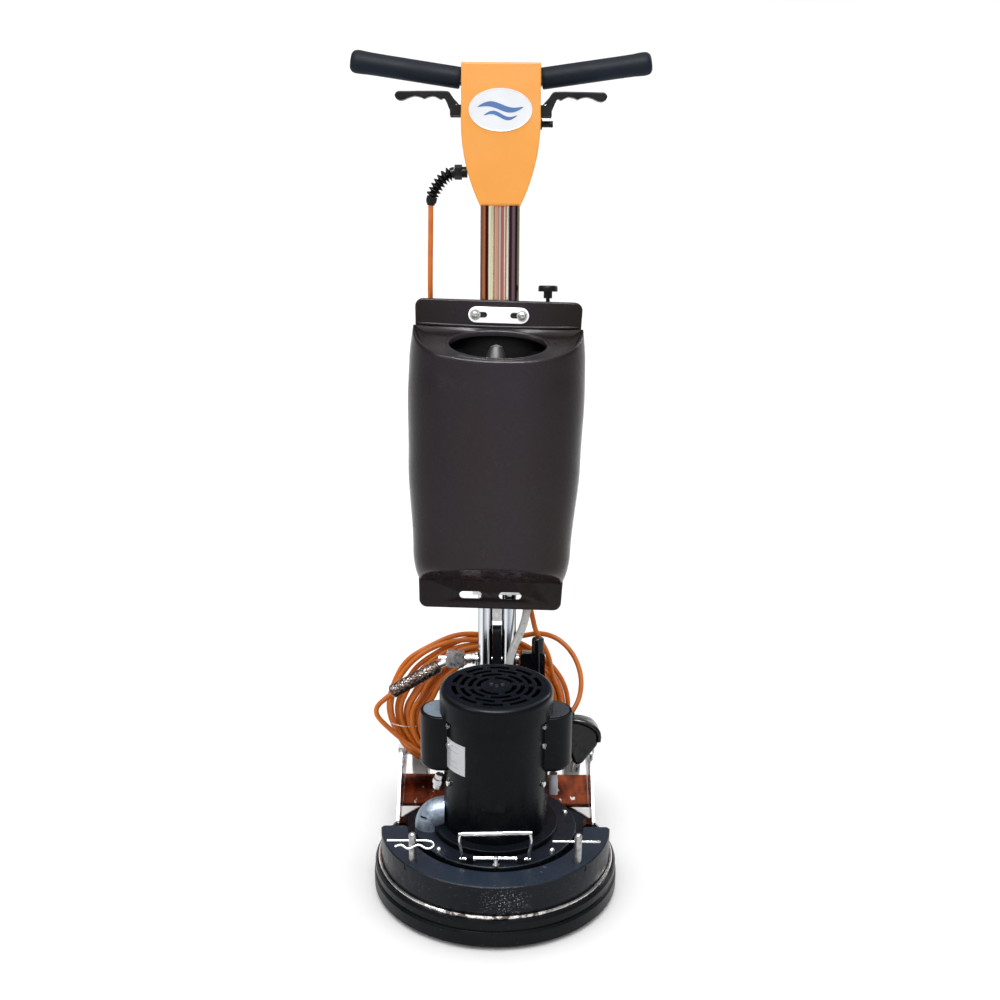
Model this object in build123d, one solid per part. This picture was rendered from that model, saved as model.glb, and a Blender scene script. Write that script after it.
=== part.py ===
from build123d import *
import math
import os

# Rotary floor machine. Millimetres, +Z up, origin on the floor under the pad's axis.
# The weight and carry bail face -Y, the operator stands on the +Y side.

# Base
PAD_R = 164
PAD_T = 16
HOLDER_R = 154
HOLDER_TOP = 26
DRIVE_PLATE_TOP = 32
BUMPER_R = 180
DECK_R = 170
DECK_WALL = 4
DECK_TOP = 50
SKIRT_BOTTOM = 18
DRUM_R = 119
DRUM_WALL = 10
DRUM_TOP = 88
COVER_TOP = 95
GAP = 0.2

# Planetary gear
MODULE = 2.5
SUN_TEETH = 9
PLANET_TEETH = 27
RING_TEETH = 63
PLANETS = 3
GEAR_BOTTOM = 60
GEAR_TOP = 76
CARRIER_R = 76
PIN_R = 7
RING_OUTER_R = 98
HUB_R = 25
BEARING_R = 42
RUNNING = 0.05

# Motor
FLANGE_R = 92
FLANGE_TOP = 104
MOTOR_R = 76
MOTOR_WALL = 3
MOTOR_TOP = 296
CAP_R = 82
CAP_BOTTOM = 284
CAP_TOP = 320
CAP_WALL = 3
SHAFT_R = 9
SHAFT_BEARING_R = 21
STATOR = (130, 225)
SHIELD = (240, 250)
BOX_BOTTOM = 196
BOX_TOP = 283
BOX_REACH = 110
BOX_DEPTH = 62
CAN_R = 13
CAN_X = 92

# Counterweight, posts and bail
WEIGHT_R = (129, 169)
WEIGHT_TOP = 95
WEIGHT_BACK_Y = -6
POST_X = 117
POST_Y = -103
POST_R = 5.5
POST_TOP = 141
CLIP_Z = 128
CLIP_WIRE_R = 1.8
BAIL_Y = -105
BAIL_Z = 99.4
BAIL_WIDTH = 104
BAIL_HEIGHT = 42
BAIL_R = 3

# Rear chassis and wheels
CHEEK_X = 148
CHEEK_T = 4
AXLE_Y = 243
AXLE_Z = 90
AXLE_R = 6
WHEEL_R = 50
WHEEL_X = 122
WHEEL_WIDTH = 26
RIM_R = 33

# Handle. Its own frame leans back about X: u is X, v is backward and w runs up the tubes.
HANDLE_Y = 165
HANDLE_Z = 300
LEAN = 10
PIVOT_W = -12
TUBE_R = 11
TUBE_WALL = 1.5
TUBE_X = 18.25
TUBE_FOOT = -26
TUBE_HEAD = 852
YOKE_HALF = 7
BOLT_R = 5

# Control head
HEAD_BOTTOM = 676
HEAD_TOP = 877
HEAD_FRONT = -38
HEAD_BACK = 22
HEAD_HALF = 57.5
HEAD_FOOT_HALF = 30
SHEET = 2
BAR_W = 858
BAR_RISE = 8.4
GRIP_R = 16
GRIP_START = 60
GRIP_END = 213
BAR_R = 11
BAR_LENGTH = 192
LEVER_PIVOT = (67, -8, 811)

# Tank
TANK_BOLT_U = 34
FLANGE_HALF = (108, 124)
TANK_HALF = 129
TANK_BACK = -16
TANK_FRONT = -126
TANK_LOW = 72
TANK_HIGH = 538
TANK_WALL = 4
VALVE_X = 72
VALVE_V = -5
RIDGE_W = 499
RIM_W = 455
BELLY_W = 112
SLOPE_FRONT = (-112, 456)
SLOPE_BACK = (-36, 492)

# Cord and hose
CORD_D = 8
HOSE_D = 12
SPLIT_GAP = 0.3
COIL_X = -38
COIL_V = 47
COIL_W = -101
COIL_HALF_X = 168
COIL_HALF_W = 116
COIL_THICK = 28
COIL_HOLE = (-34, -102, 112, 88)
SADDLE_TOP = -23
NIPPLE = (18, 100, 103)

os.makedirs("parts", exist_ok=True)


def write(node, shape):
    export_step(shape, "parts/" + node + ".step")


def disc(r, z0, z1, x=0, y=0):
    return Pos(x, y, (z0 + z1) / 2) * Cylinder(r, z1 - z0)


def ring(r_out, r_in, z0, z1, x=0, y=0):
    return disc(r_out, z0, z1, x, y) - disc(r_in, z0 - 1, z1 + 1, x, y)


def block(x0, x1, y0, y1, z0, z1):
    return Pos((x0 + x1) / 2, (y0 + y1) / 2, (z0 + z1) / 2) * Box(x1 - x0, y1 - y0, z1 - z0)


def rod_x(r, x0, x1, y=0, z=0):
    return Pos((x0 + x1) / 2, y, z) * Rot(0, 90, 0) * Cylinder(r, x1 - x0)


def rod_y(r, y0, y1, x=0, z=0):
    return Pos(x, (y0 + y1) / 2, z) * Rot(90, 0, 0) * Cylinder(r, y1 - y0)


def turned(points):
    """A closed outline of (radius, height) points turned about Z."""
    return revolve(Plane.XZ * make_face(Polyline(*points, close=True)), Axis.Z)


def plate_yz(points, x0, x1):
    """An outline of (y, z) points as a plate between two X values."""
    face = make_face(Polyline(*[(x0, y, z) for y, z in points], close=True))
    return extrude(face, amount=x1 - x0, dir=(1, 0, 0))


def plate_xz(points, y0, y1):
    face = make_face(Polyline(*[(x, y0, z) for x, z in points], close=True))
    return extrude(face, amount=y1 - y0, dir=(0, 1, 0))


def both_sides(shape):
    return [shape, mirror(shape, about=Plane.YZ)]


def group(shapes):
    return Compound(children=[s if isinstance(s, Solid) else s.solid() for s in shapes])


def on_handle(shape):
    return Pos(0, HANDLE_Y, HANDLE_Z) * Rot(-LEAN, 0, 0) * shape


def largest_arcs(places, share):
    """The radius at each corner that takes up that share of the shorter run beside it."""
    radii = []
    for a, b, c in zip(places, places[1:], places[2:]):
        turn = math.radians((b - a).get_angle(c - b))
        radii.append(share * min((b - a).length, (c - b).length) / math.tan(turn / 2))
    return radii


def round_sweep(points, radius, share=0.45):
    """A round wire or tube along straight runs joined by tangent arcs, with its path and radii."""
    places = [Vector(*p) for p in points]
    radii = largest_arcs(places, share)
    path = FilletPolyline(*places, radius=radii)
    start = Plane(origin=places[0], z_dir=places[1] - places[0])
    return sweep(start * Circle(radius), path=path), path, radii


def cord_along(points, diameter, name):
    """A cord or hose along its route, with a line that says how long and how tightly bent it is."""
    cord, path, radii = round_sweep(points, diameter / 2)
    section = math.pi * diameter**2 / 4
    print(name, "length", round(path.length), "radii", [round(r) for r in radii],
          "volume share", round(cord.volume / (section * path.length), 4))
    return on_handle(cord)


# ---------------------------------------------------------------- brush drive
def floor_pad():
    pad = disc(PAD_R, 0, PAD_T)
    return fillet(pad.edges().filter_by(GeomType.CIRCLE).sort_by(Axis.Z)[-1], 3)


def pad_holder():
    plate = disc(HOLDER_R, PAD_T, HOLDER_TOP)
    plate = plate + ring(HOLDER_R - 4, HOLDER_R - 12, HOLDER_TOP, DRIVE_PLATE_TOP)
    plate = plate + disc(60, HOLDER_TOP, DRIVE_PLATE_TOP)
    for i in range(3):
        plate = plate + Rot(0, 0, 120 * i) * block(40, 76, -12, 12, HOLDER_TOP, DRIVE_PLATE_TOP)
    return plate


def planet_radius():
    return MODULE * (SUN_TEETH + PLANET_TEETH) / 2


def planet_carrier():
    body = disc(CARRIER_R, DECK_TOP + 1, GEAR_BOTTOM - 1)
    body = body + disc(HUB_R - RUNNING, DRIVE_PLATE_TOP, DECK_TOP + 1)
    for i in range(PLANETS):
        pin = disc(PIN_R - RUNNING, GEAR_BOTTOM - 1, GEAR_TOP + 1, planet_radius())
        body = body + Rot(0, 0, 360 / PLANETS * i) * pin
    return body


def bearings():
    """The brush bearing in the deck and the two bearings of the motor shaft."""
    brush = ring(BEARING_R - 0.02, HUB_R, 38, DECK_TOP)
    lower = ring(SHAFT_BEARING_R - 0.02, SHAFT_R, 82, COVER_TOP)
    upper = ring(SHAFT_BEARING_R - 0.02, SHAFT_R, *SHIELD)
    return group([brush, lower, upper])


def gear_outline(teeth, tip_r, root_r, root_share, tip_share):
    """Corner points of straight-sided teeth, with a tooth centred on +X."""
    step = 2 * math.pi / teeth
    corners = [(root_r, -root_share), (tip_r, -tip_share), (tip_r, tip_share), (root_r, root_share)]
    points = []
    for i in range(teeth):
        for r, share in corners:
            a = step * (i + share)
            points.append((r * math.cos(a), r * math.sin(a)))
    return points


def gear_blank(points):
    face = make_face(Polyline(*[(x, y, GEAR_BOTTOM) for x, y in points], close=True))
    return extrude(face, amount=GEAR_TOP - GEAR_BOTTOM, dir=(0, 0, 1))


def outer_gear(teeth):
    pitch = MODULE * teeth / 2
    return gear_blank(gear_outline(teeth, pitch + 0.85 * MODULE, pitch - 1.2 * MODULE, 0.3, 0.11))


def planet_gear(i):
    gear = outer_gear(PLANET_TEETH) - disc(PIN_R, GEAR_BOTTOM - 1, GEAR_TOP + 1)
    gear = Pos(planet_radius(), 0, 0) * gear
    return Rot(0, 0, 360 / PLANETS * i) * gear


def ring_gear():
    pitch = MODULE * RING_TEETH / 2
    inner = gear_outline(RING_TEETH, pitch + 1.2 * MODULE, pitch - 0.85 * MODULE, 0.39, 0.2)
    return disc(RING_OUTER_R, GEAR_BOTTOM, GEAR_TOP) - gear_blank(inner)


# ---------------------------------------------------------------- base
def deck_shell():
    skirt_in = DECK_R - DECK_WALL
    shell = turned([(BEARING_R, 38), (BEARING_R + 8, 38), (BEARING_R + 8, 44), (skirt_in - 4, 44),
                    (skirt_in, 40), (skirt_in, SKIRT_BOTTOM), (DECK_R, SKIRT_BOTTOM),
                    (DECK_R, DECK_TOP - 2), (DECK_R - 2, DECK_TOP), (BEARING_R, DECK_TOP)])
    for side in (-1, 1):
        shell = shell - disc(POST_R, 40, DECK_TOP + 1, side * POST_X, POST_Y)
    return shell


def bumper():
    inner = DECK_R + GAP
    return turned([(inner, 4), (BUMPER_R - 3, 4), (BUMPER_R, 7), (BUMPER_R, 25), (BUMPER_R - 2, 28),
                   (BUMPER_R - 4, 29), (BUMPER_R - 4, 31), (BUMPER_R - 1.5, 32.5), (BUMPER_R - 1.5, 42),
                   (BUMPER_R - 4, 46), (inner, 46)])


def trim_ring():
    inner = DECK_R + GAP
    return turned([(inner, 46), (inner + 3.6, 46), (inner + 3.6, 49.5), (inner + 2.4, 51), (inner, 51)])


def gearbox_housing():
    body = ring(DRUM_R, DRUM_R - DRUM_WALL, DECK_TOP, DRUM_TOP)
    seat = ring(DRUM_R - DRUM_WALL, RING_OUTER_R + 0.02, GEAR_BOTTOM, GEAR_TOP)
    return body + seat


def gearbox_cover():
    cover = ring(DRUM_R, SHAFT_BEARING_R, DRUM_TOP, COVER_TOP)
    edge = cover.edges().filter_by(GeomType.CIRCLE).group_by(Axis.Z)[-1].sort_by(SortBy.RADIUS)[-1]
    cover = fillet(edge, 2)
    cover = cover + ring(SHAFT_BEARING_R + 8, SHAFT_BEARING_R, 82, DRUM_TOP)
    for x in (-36, 36):
        clip = block(x - 5, x + 5, BAIL_Y - 5, BAIL_Y + 5, COVER_TOP - 1, BAIL_Z + 5)
        cover = cover + (clip - rod_x(BAIL_R + RUNNING, x - 10, x + 10, BAIL_Y, BAIL_Z))
    x, y, top = NIPPLE
    return cover + disc(7.5, COVER_TOP - 1, top - 4, x, y) + disc(5.5, top - 5, top, x, y)


def counterweight():
    body = ring(WEIGHT_R[1], WEIGHT_R[0], DECK_TOP + GAP, WEIGHT_TOP)
    body = body & block(-200, 200, -200, WEIGHT_BACK_Y, 0, 200)
    upright = body.edges().filter_by(Axis.Z)
    body = fillet(upright.group_by(Axis.Y)[-1], 6)
    body = chamfer(body.edges().group_by(Axis.Z)[-1], 1.5)
    for side in (-1, 1):
        body = body - disc(POST_R + 0.4, 40, 120, side * POST_X, POST_Y)
        body = body - disc(3, WEIGHT_TOP - 10, 120, side * (POST_X + 12), POST_Y - 9)
    return body


def weight_posts():
    posts = []
    for side in (-1, 1):
        post = disc(POST_R - 0.02, 40, POST_TOP - POST_R, side * POST_X, POST_Y)
        post = post + Pos(side * POST_X, POST_Y, POST_TOP - POST_R) * Sphere(POST_R - 0.02)
        hole = rod_x(CLIP_WIRE_R + 0.2, side * POST_X - 20, side * POST_X + 20, POST_Y, CLIP_Z)
        posts.append(post - hole)
    return group(posts)


def hairpin(flip):
    """A spring clip with one straight leg through the post and one waved leg beside it."""
    waved = [(14, 0), (22, -1.5), (27, -6), (25, -11.5), (18, -13), (9, -9.5), (0, -12.5), (-9, -8.5),
             (-17, -9.5), (-22, -13)]
    points = [(-26, 0, 0), (-6, 0, 0.01)] + [(x, y, 0) for x, y in waved]
    wire = round_sweep(points, CLIP_WIRE_R, 0.4)[0]
    side = 1 if flip else -1
    return Pos(side * POST_X, POST_Y, CLIP_Z) * Rot(149 if flip else 0, 0, 0) * wire


def hairpins():
    return group([hairpin(False), hairpin(True)])


def carry_bail():
    half = BAIL_WIDTH / 2
    bar = rod_x(BAIL_R + 0.6, -half, half, 0, BAIL_HEIGHT)
    foot = rod_x(BAIL_R, -half, half, 0, 0)
    bail = bar + foot
    for side in (-1, 1):
        bail = bail + Pos(side * (half - BAIL_R), 0, BAIL_HEIGHT / 2) * Cylinder(BAIL_R - 0.5, BAIL_HEIGHT)
    return Pos(0, BAIL_Y, BAIL_Z) * bail


def vacuum_elbow():
    bend = 23
    foot = Vector(-98, -5, COVER_TOP)
    path = Line(foot, foot + Vector(0, 0, 2)) + CenterArc(
        foot + Vector(bend, 0, 2), bend, 180, -90).rotate(Axis(foot + Vector(bend, 0, 2), (1, 0, 0)), 90)
    outer = sweep(Plane(origin=foot, z_dir=(0, 0, 1)) * Circle(21), path=path)
    inner = sweep(Plane(origin=foot, z_dir=(0, 0, 1)) * Circle(17), path=path)
    slot = block(-110, -101, -40, -5, 114, 118)
    beside_motor = disc(FLANGE_R + GAP, 90, FLANGE_TOP + GAP) + disc(MOTOR_R + GAP, 90, 200)
    return (outer - inner - slot - beside_motor).solids().sort_by(SortBy.VOLUME)[-1]


def deck_bolts():
    heads = []
    for angle in (18, 48, 90, 132, 162, 222, 318):
        a = math.radians(angle)
        x, y = 109 * math.cos(a), 109 * math.sin(a)
        head = Pos(x, y, COVER_TOP) * Sphere(4.5) & block(x - 9, x + 9, y - 9, y + 9, COVER_TOP, 120)
        heads.append(head)
    return heads


# ---------------------------------------------------------------- motor
def motor_shell():
    flange = ring(FLANGE_R, 40, COVER_TOP, FLANGE_TOP)
    edge = flange.edges().filter_by(GeomType.CIRCLE).group_by(Axis.Z)[-1].sort_by(SortBy.RADIUS)[-1]
    flange = fillet(edge, 2)
    barrel = ring(MOTOR_R, MOTOR_R - MOTOR_WALL, COVER_TOP, MOTOR_TOP)
    shield = ring(MOTOR_R - 1, SHAFT_BEARING_R, *SHIELD)
    return flange + barrel + shield


def vent_slot(r, width, start, sweep_deg):
    """A curved slot through the cap, between two angles."""
    band = ring(r + width / 2, r - width / 2, CAP_TOP - 8, CAP_TOP + 4)
    reach = 200
    a, b = math.radians(start), math.radians(start + sweep_deg)
    wedge = [(0, 0), (reach * math.cos(a), reach * math.sin(a)), (reach * math.cos(b), reach * math.sin(b))]
    face = make_face(Polyline(*[(x, y, CAP_TOP - 8) for x, y in wedge], close=True))
    return band & extrude(face, amount=12, dir=(0, 0, 1))


def motor_cap():
    outer = disc(CAP_R, CAP_BOTTOM, CAP_TOP)
    outer = fillet(outer.edges().filter_by(GeomType.CIRCLE).sort_by(Axis.Z)[-1], 8)
    inner = disc(CAP_R - CAP_WALL, CAP_BOTTOM - 1, CAP_TOP - CAP_WALL)
    inner = fillet(inner.edges().filter_by(GeomType.CIRCLE).sort_by(Axis.Z)[-1], 6)
    cap = outer - inner
    cap = cap + ring(CAP_R - CAP_WALL, MOTOR_R + GAP, CAP_BOTTOM, CAP_BOTTOM + 4)
    slots = []
    for row, (r, count) in enumerate(((62, 10), (50, 8), (38, 6), (26, 4))):
        step = 360 / count
        for i in range(count):
            slots.append(vent_slot(r, 6.5, step * i + 9 * row, step - 560 / r))
    return cap - slots


def cap_screws():
    return [disc(2.6, CAP_TOP, CAP_TOP + 1.4, x, y) for x, y in ((0, 0), (9, 4), (-8, 5))]


def motor_screws():
    screws = []
    for angle, z in ((208, 274), (332, 274), (208, 243), (332, 243), (332, 182), (208, 182)):
        a = math.radians(angle)
        head = Cylinder(4, 3)
        turned_out = Rot(0, 0, angle) * Pos(MOTOR_R + 2.2, 0, z) * Rot(0, 90, 0) * head
        screws.append(turned_out)
    return screws


def screws():
    return group(deck_bolts() + cap_screws() + motor_screws())


def stator():
    core = ring(MOTOR_R - MOTOR_WALL - 0.1, 44, *STATOR)
    winding = ring(66, 48, STATOR[0] - 16, STATOR[1] + 12)
    return core + winding


def rotor():
    return ring(43, SHAFT_R, STATOR[0], STATOR[1])


def motor_shaft():
    """The shaft with the sun gear's teeth cut on its lower end."""
    return disc(SHAFT_R - RUNNING, GEAR_TOP, 288) + outer_gear(SUN_TEETH)


def cooling_fan():
    fan = ring(18, SHAFT_R, 258, 282) + ring(66, 17, 258, 261)
    for i in range(9):
        fan = fan + Rot(0, 0, 40 * i) * block(17, 64, -1.5, 1.5, 260, 282)
    return fan


def capacitor_box():
    """The right-hand box: a rounded outer wall that meets the motor's side."""
    outline = Pos(BOX_REACH - BOX_DEPTH / 2, 0) * Circle(BOX_DEPTH / 2)
    outline = outline + Pos((BOX_REACH - BOX_DEPTH / 2 + 40) / 2, 0) * Rectangle(
        BOX_REACH - BOX_DEPTH / 2 - 40, BOX_DEPTH)
    solid = extrude(Plane(origin=(0, 0, BOX_BOTTOM)) * outline, amount=BOX_TOP - BOX_BOTTOM)
    solid = fillet(solid.edges().group_by(Axis.Z)[-1], 2)
    solid = fillet(solid.edges().group_by(Axis.Z)[0].sort_by(Axis.X)[-1], 8)
    hollow = disc(CAN_R + 1.5, BOX_BOTTOM + 3, BOX_TOP - 3, CAN_X, 0)
    return solid - hollow - disc(MOTOR_R + GAP, 100, 300)


def capacitor_boxes():
    return group(both_sides(capacitor_box()))


def capacitors():
    can = disc(CAN_R, BOX_BOTTOM + 3, BOX_TOP - 12, CAN_X, 0)
    return group(both_sides(can))


# ---------------------------------------------------------------- rear chassis
def cheek_plate():
    """The right-hand side plate with its foot, from the deck to the axle."""
    end = AXLE_Y + 16
    outline = [(34, DECK_TOP + GAP), (80, DECK_TOP + GAP), (112, 58), (AXLE_Y, 74), (end - 6, 77), (end, 86),
               (end - 1, 97), (end - 8, 102), (156, 100), (150, 108), (147, 137), (141, 142), (133, 140),
               (38, 76)]
    half = CHEEK_T / 2
    plate = plate_yz(outline, CHEEK_X - half, CHEEK_X + half)
    plate = plate - rod_x(AXLE_R, 100, 200, AXLE_Y, AXLE_Z)
    plate = plate - rod_x(7, 100, 200, 133, 122)
    foot = block(CHEEK_X - half - 13, CHEEK_X, 36, 54, DECK_TOP + GAP, 74)
    foot = chamfer(foot.edges().filter_by(Axis.Y).sort_by(Axis.X)[:2].sort_by(Axis.Z)[-1], 4)
    return plate + foot


def rear_chassis():
    outline = [(123, 52.4), (130, 52.4), (184, 73), (184, 76), (129, 55.4), (123, 55.4)]
    tail = plate_yz(outline, -CHEEK_X, CHEEK_X) - block(-32, 32, 100, 150, 40, 80)
    right, left = both_sides(cheek_plate())
    return tail + right + left


def wheel_axle():
    """The fixed axle with its end nuts and the spacer tubes beside each wheel."""
    outer = CHEEK_X + CHEEK_T / 2
    inner = CHEEK_X - CHEEK_T / 2
    axle = rod_x(AXLE_R - 0.02, -outer - 10, outer + 10, AXLE_Y, AXLE_Z)
    wheel_in = WHEEL_X - WHEEL_WIDTH / 2
    wheel_out = WHEEL_X + WHEEL_WIDTH / 2
    face = Plane(origin=(outer + GAP, AXLE_Y, AXLE_Z), z_dir=(1, 0, 0)) * RegularPolygon(11, 6)
    for piece in (extrude(face, amount=8), rod_x(10, wheel_out + 2, inner - GAP, AXLE_Y, AXLE_Z),
                  rod_x(10, wheel_in - 12, wheel_in - 2, AXLE_Y, AXLE_Z)):
        right, left = both_sides(piece)
        axle = axle + right + left
    return axle


def wheel_hub():
    half = WHEEL_WIDTH / 2
    rim = rod_x(RIM_R, WHEEL_X - half + 2, WHEEL_X + half - 2, AXLE_Y, AXLE_Z)
    for x0, x1 in ((WHEEL_X + 5, WHEEL_X + half), (WHEEL_X - half, WHEEL_X - 5)):
        dish = rod_x(RIM_R - 5, x0, x1, AXLE_Y, AXLE_Z) - rod_x(12, x0, x1, AXLE_Y, AXLE_Z)
        rim = rim - dish
    rim = rim + rod_x(11, WHEEL_X - half - 1, WHEEL_X + half + 1, AXLE_Y, AXLE_Z)
    return rim - rod_x(AXLE_R + RUNNING, 50, 200, AXLE_Y, AXLE_Z)


def on_side(shape, side):
    return shape if side > 0 else mirror(shape, about=Plane.YZ)


def wheel_tyre():
    half = WHEEL_WIDTH / 2
    tyre = rod_x(WHEEL_R, WHEEL_X - half, WHEEL_X + half, AXLE_Y, AXLE_Z)
    tyre = fillet(tyre.edges().filter_by(GeomType.CIRCLE), 5)
    return tyre - rod_x(RIM_R + 0.02, 50, 200, AXLE_Y, AXLE_Z)


def yoke():
    bar = Pos(0, 0, (-226 + 30) / 2) * Box(2 * YOKE_HALF, 22, 256)
    bar = bar + rod_x(11, -YOKE_HALF, YOKE_HALF, 0, 30)
    bar = bar - rod_x(BOLT_R + GAP, -20, 20, 0, PIVOT_W)
    foot = block(-26, 26, 121, 143, DECK_TOP + GAP, 60) + block(-YOKE_HALF, YOKE_HALF, 121, 141, 55, 97)
    return (on_handle(bar) & block(-40, 40, 100, 240, 96, 400)) + foot


def cord_hook():
    """The hook beside the yoke and the saddle behind it that the wound cord hangs on."""
    arm = block(YOKE_HALF, 40, -8, 8, -48, -36)
    body = block(36, 74, -14, 8, -48, 0)
    body = fillet(body.edges().filter_by(Axis.Y), 5)
    finger = Pos(63, -5, -6) * Cylinder(9.5, 60)
    finger = fillet(finger.edges().group_by(Axis.Z)[-1], 4)
    peg = block(-5, 5, 11, 67, SADDLE_TOP - 12, SADDLE_TOP)
    saddle = block(-13, 13, 34, 67, SADDLE_TOP - 8, SADDLE_TOP)
    lip = fillet(block(-13, 13, 62, 67, SADDLE_TOP - 8, 4).edges().filter_by(Axis.Y), 4)
    return on_handle(group([arm + body + finger, peg + saddle + lip]))


def tilt_bolt():
    """The bolt through the tube feet and the yoke, with its head, washers and lock nut."""
    bolt = rod_x(BOLT_R - 0.02, -90, 33, 0, PIVOT_W)
    for x0, x1, r in ((29.6, 33.6, 9), (-33, -29.6, 11), (-38, -34, 9), (-48, -39, 8)):
        bolt = bolt + rod_x(r, x0, x1, 0, PIVOT_W)
    return on_handle(bolt)


def clamp_block():
    plate = Pos(-64, 0, PIVOT_W) * Box(28, 24, 24)
    plate = fillet(plate.edges().filter_by(Axis.Y), 4)
    plate = plate + clamp_grip_place() * (Pos(0, 0, 8) * Cylinder(5, 16))
    plate = plate - rod_x(BOLT_R + RUNNING, -100, 0, 0, PIVOT_W)
    return on_handle(plate)


def clamp_grip_place():
    return Pos(-78, -6, PIVOT_W - 4) * Rot(0, -90 - 26, 0)


def clamp_grip():
    grip = Pos(0, 0, 16 + 38) * Cylinder(9, 76)
    grip = fillet(grip.edges(), 2.5)
    return on_handle(clamp_grip_place() * grip)


# ---------------------------------------------------------------- handle
def bar_place(side):
    return Pos(side * 20, 0, BAR_W - 5) * Rot(0, side * (90 - BAR_RISE), 0)


def handle_tubes():
    """Both uprights with the handlebar welded across their tops."""
    height = TUBE_HEAD - TUBE_FOOT
    frame = Pos(0, 0, BAR_W - 6) * Box(60, 26, 30)
    for side in (-1, 1):
        middle = Pos(side * TUBE_X, 0, TUBE_FOOT + height / 2)
        frame = frame + middle * (Cylinder(TUBE_R, height) - Cylinder(TUBE_R - TUBE_WALL, height + 2))
        frame = frame + bar_place(side) * (Pos(0, 0, BAR_LENGTH / 2) * Cylinder(BAR_R, BAR_LENGTH))
    return on_handle(frame - rod_x(BOLT_R + RUNNING, -60, 60, 0, PIVOT_W))


def tube_clamps():
    """The straps round the tubes that carry the tank, and the spacer above the yoke."""
    pieces = []
    for w in (100, 516):
        strap = Pos(0, -1, w) * Box(76, 28, 16)
        for side in (-1, 1):
            strap = strap - Pos(side * TUBE_X, 0, w) * Cylinder(TUBE_R + GAP, 30)
        pieces += strap.solids()
    pieces.append((Pos(0, 0, 58) * Box(2 * (TUBE_X - TUBE_R) - GAP, 12, 18)).solid())
    return on_handle(Compound(children=pieces))


def head_outline(inset):
    top = HEAD_TOP - inset
    half = HEAD_HALF - inset
    foot = HEAD_FOOT_HALF - inset
    low = HEAD_BOTTOM + inset
    shoulder = 808
    side_r = Line((half, shoulder), (half, top))
    curve_r = ThreePointArc((foot, low), ((half + foot) / 2 + 7, (shoulder + low) / 2 - 8), (half, shoulder))
    curve_l = mirror(curve_r, about=Plane.YZ)
    side_l = mirror(side_r, about=Plane.YZ)
    return curve_r, side_r, Line((half, top), (-half, top)), side_l, curve_l, Line((-foot, low), (foot, low))


def head_solid(inset, front, back):
    lines = head_outline(inset)
    face = make_face(lines)
    solid = extrude(face, amount=back - front)
    return Pos(0, back, 0) * Rot(90, 0, 0) * solid


def control_head():
    shell = head_solid(0, HEAD_FRONT, HEAD_BACK)
    shell = fillet(shell.edges().group_by(Axis.Y)[0], 2.5)
    shell = shell - head_solid(SHEET, HEAD_FRONT + SHEET, HEAD_BACK + 1)
    for side in (-1, 1):
        shell = shell - Pos(side * TUBE_X, 0, HEAD_BOTTOM) * Cylinder(TUBE_R + GAP, 20)
        shell = shell - Pos(side * HEAD_HALF, 0, BAR_W) * Rot(0, 90, 0) * Cylinder(BAR_R + 2, 20)
    shell = shell - rod_x(5.1, 50, 70, 0, 794)
    shell = shell - Pos(-50, -4, 724) * Rot(0, -90, 0) * Cylinder(8.1, 30)
    return on_handle(shell)


def head_back():
    cover = head_solid(SHEET + GAP, HEAD_BACK - SHEET, HEAD_BACK)
    return on_handle(cover)


def hand_grips():
    start = GRIP_START - 20
    length = GRIP_END - GRIP_START
    grip = Pos(0, 0, start + length / 2) * Cylinder(GRIP_R, length)
    grip = fillet(grip.edges(), 3)
    grip = grip - Pos(0, 0, BAR_LENGTH / 2) * Cylinder(BAR_R + 0.02, BAR_LENGTH)
    return on_handle(group([bar_place(side) * grip for side in (-1, 1)]))


def switch_lever(side):
    u, v, w = LEVER_PIVOT
    outline = [(-7, -9), (6, -9), (10, 6), (16, 16), (30, 20), (78, 20), (86, 26), (80, 32), (24, 31),
               (8, 28), (-2, 12), (-7, 4)]
    face = make_face(Polyline(*[(u + x, v - 8, w + z) for x, z in outline], close=True))
    lever = extrude(face, amount=16, dir=(0, 1, 0))
    lever = lever - rod_y(3 + RUNNING, v - 20, v + 20, u, w)
    return on_handle(on_side(lever, side))


def lever_brackets():
    u, v, w = LEVER_PIVOT
    arms = []
    for v0 in (v - 13, v + 8.5):
        arms.append(block(HEAD_HALF + 2 * GAP, u + 7, v0, v0 + 4, w - 8, w + 8))
    pin = rod_y(3, v - 13, v + 12.5, u, w)
    bracket = arms[0] + arms[1] + pin
    return on_handle(group(both_sides(bracket)))


def lock_button():
    button = rod_x(5, 54, 75, 0, 794)
    return on_handle(button + rod_x(7, 46, 54, 0, 794))


def switch_block():
    return on_handle(block(-26, 26, -32, -14, 770, 826))


def cable_gland():
    place = Pos(-HEAD_HALF + 5, -4, 724) * Rot(0, -90, 0)
    neck = Pos(0, 0, 0) * Cylinder(8, 8)
    nut = Pos(0, 0, 4) * extrude(RegularPolygon(11, 6), amount=11)
    return on_handle(place * (neck + nut))


GLAND_FACE = (-HEAD_HALF + 5 - 15, -4, 724)
RELIEF_ROUTE = [GLAND_FACE, (-82, -4, 722), (-93, -3, 714), (-100, -2, 702), (-102, -1, 688), (-102.5, 0, 676)]


def strain_relief():
    return on_handle(round_sweep(RELIEF_ROUTE, 7.5)[0])


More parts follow.
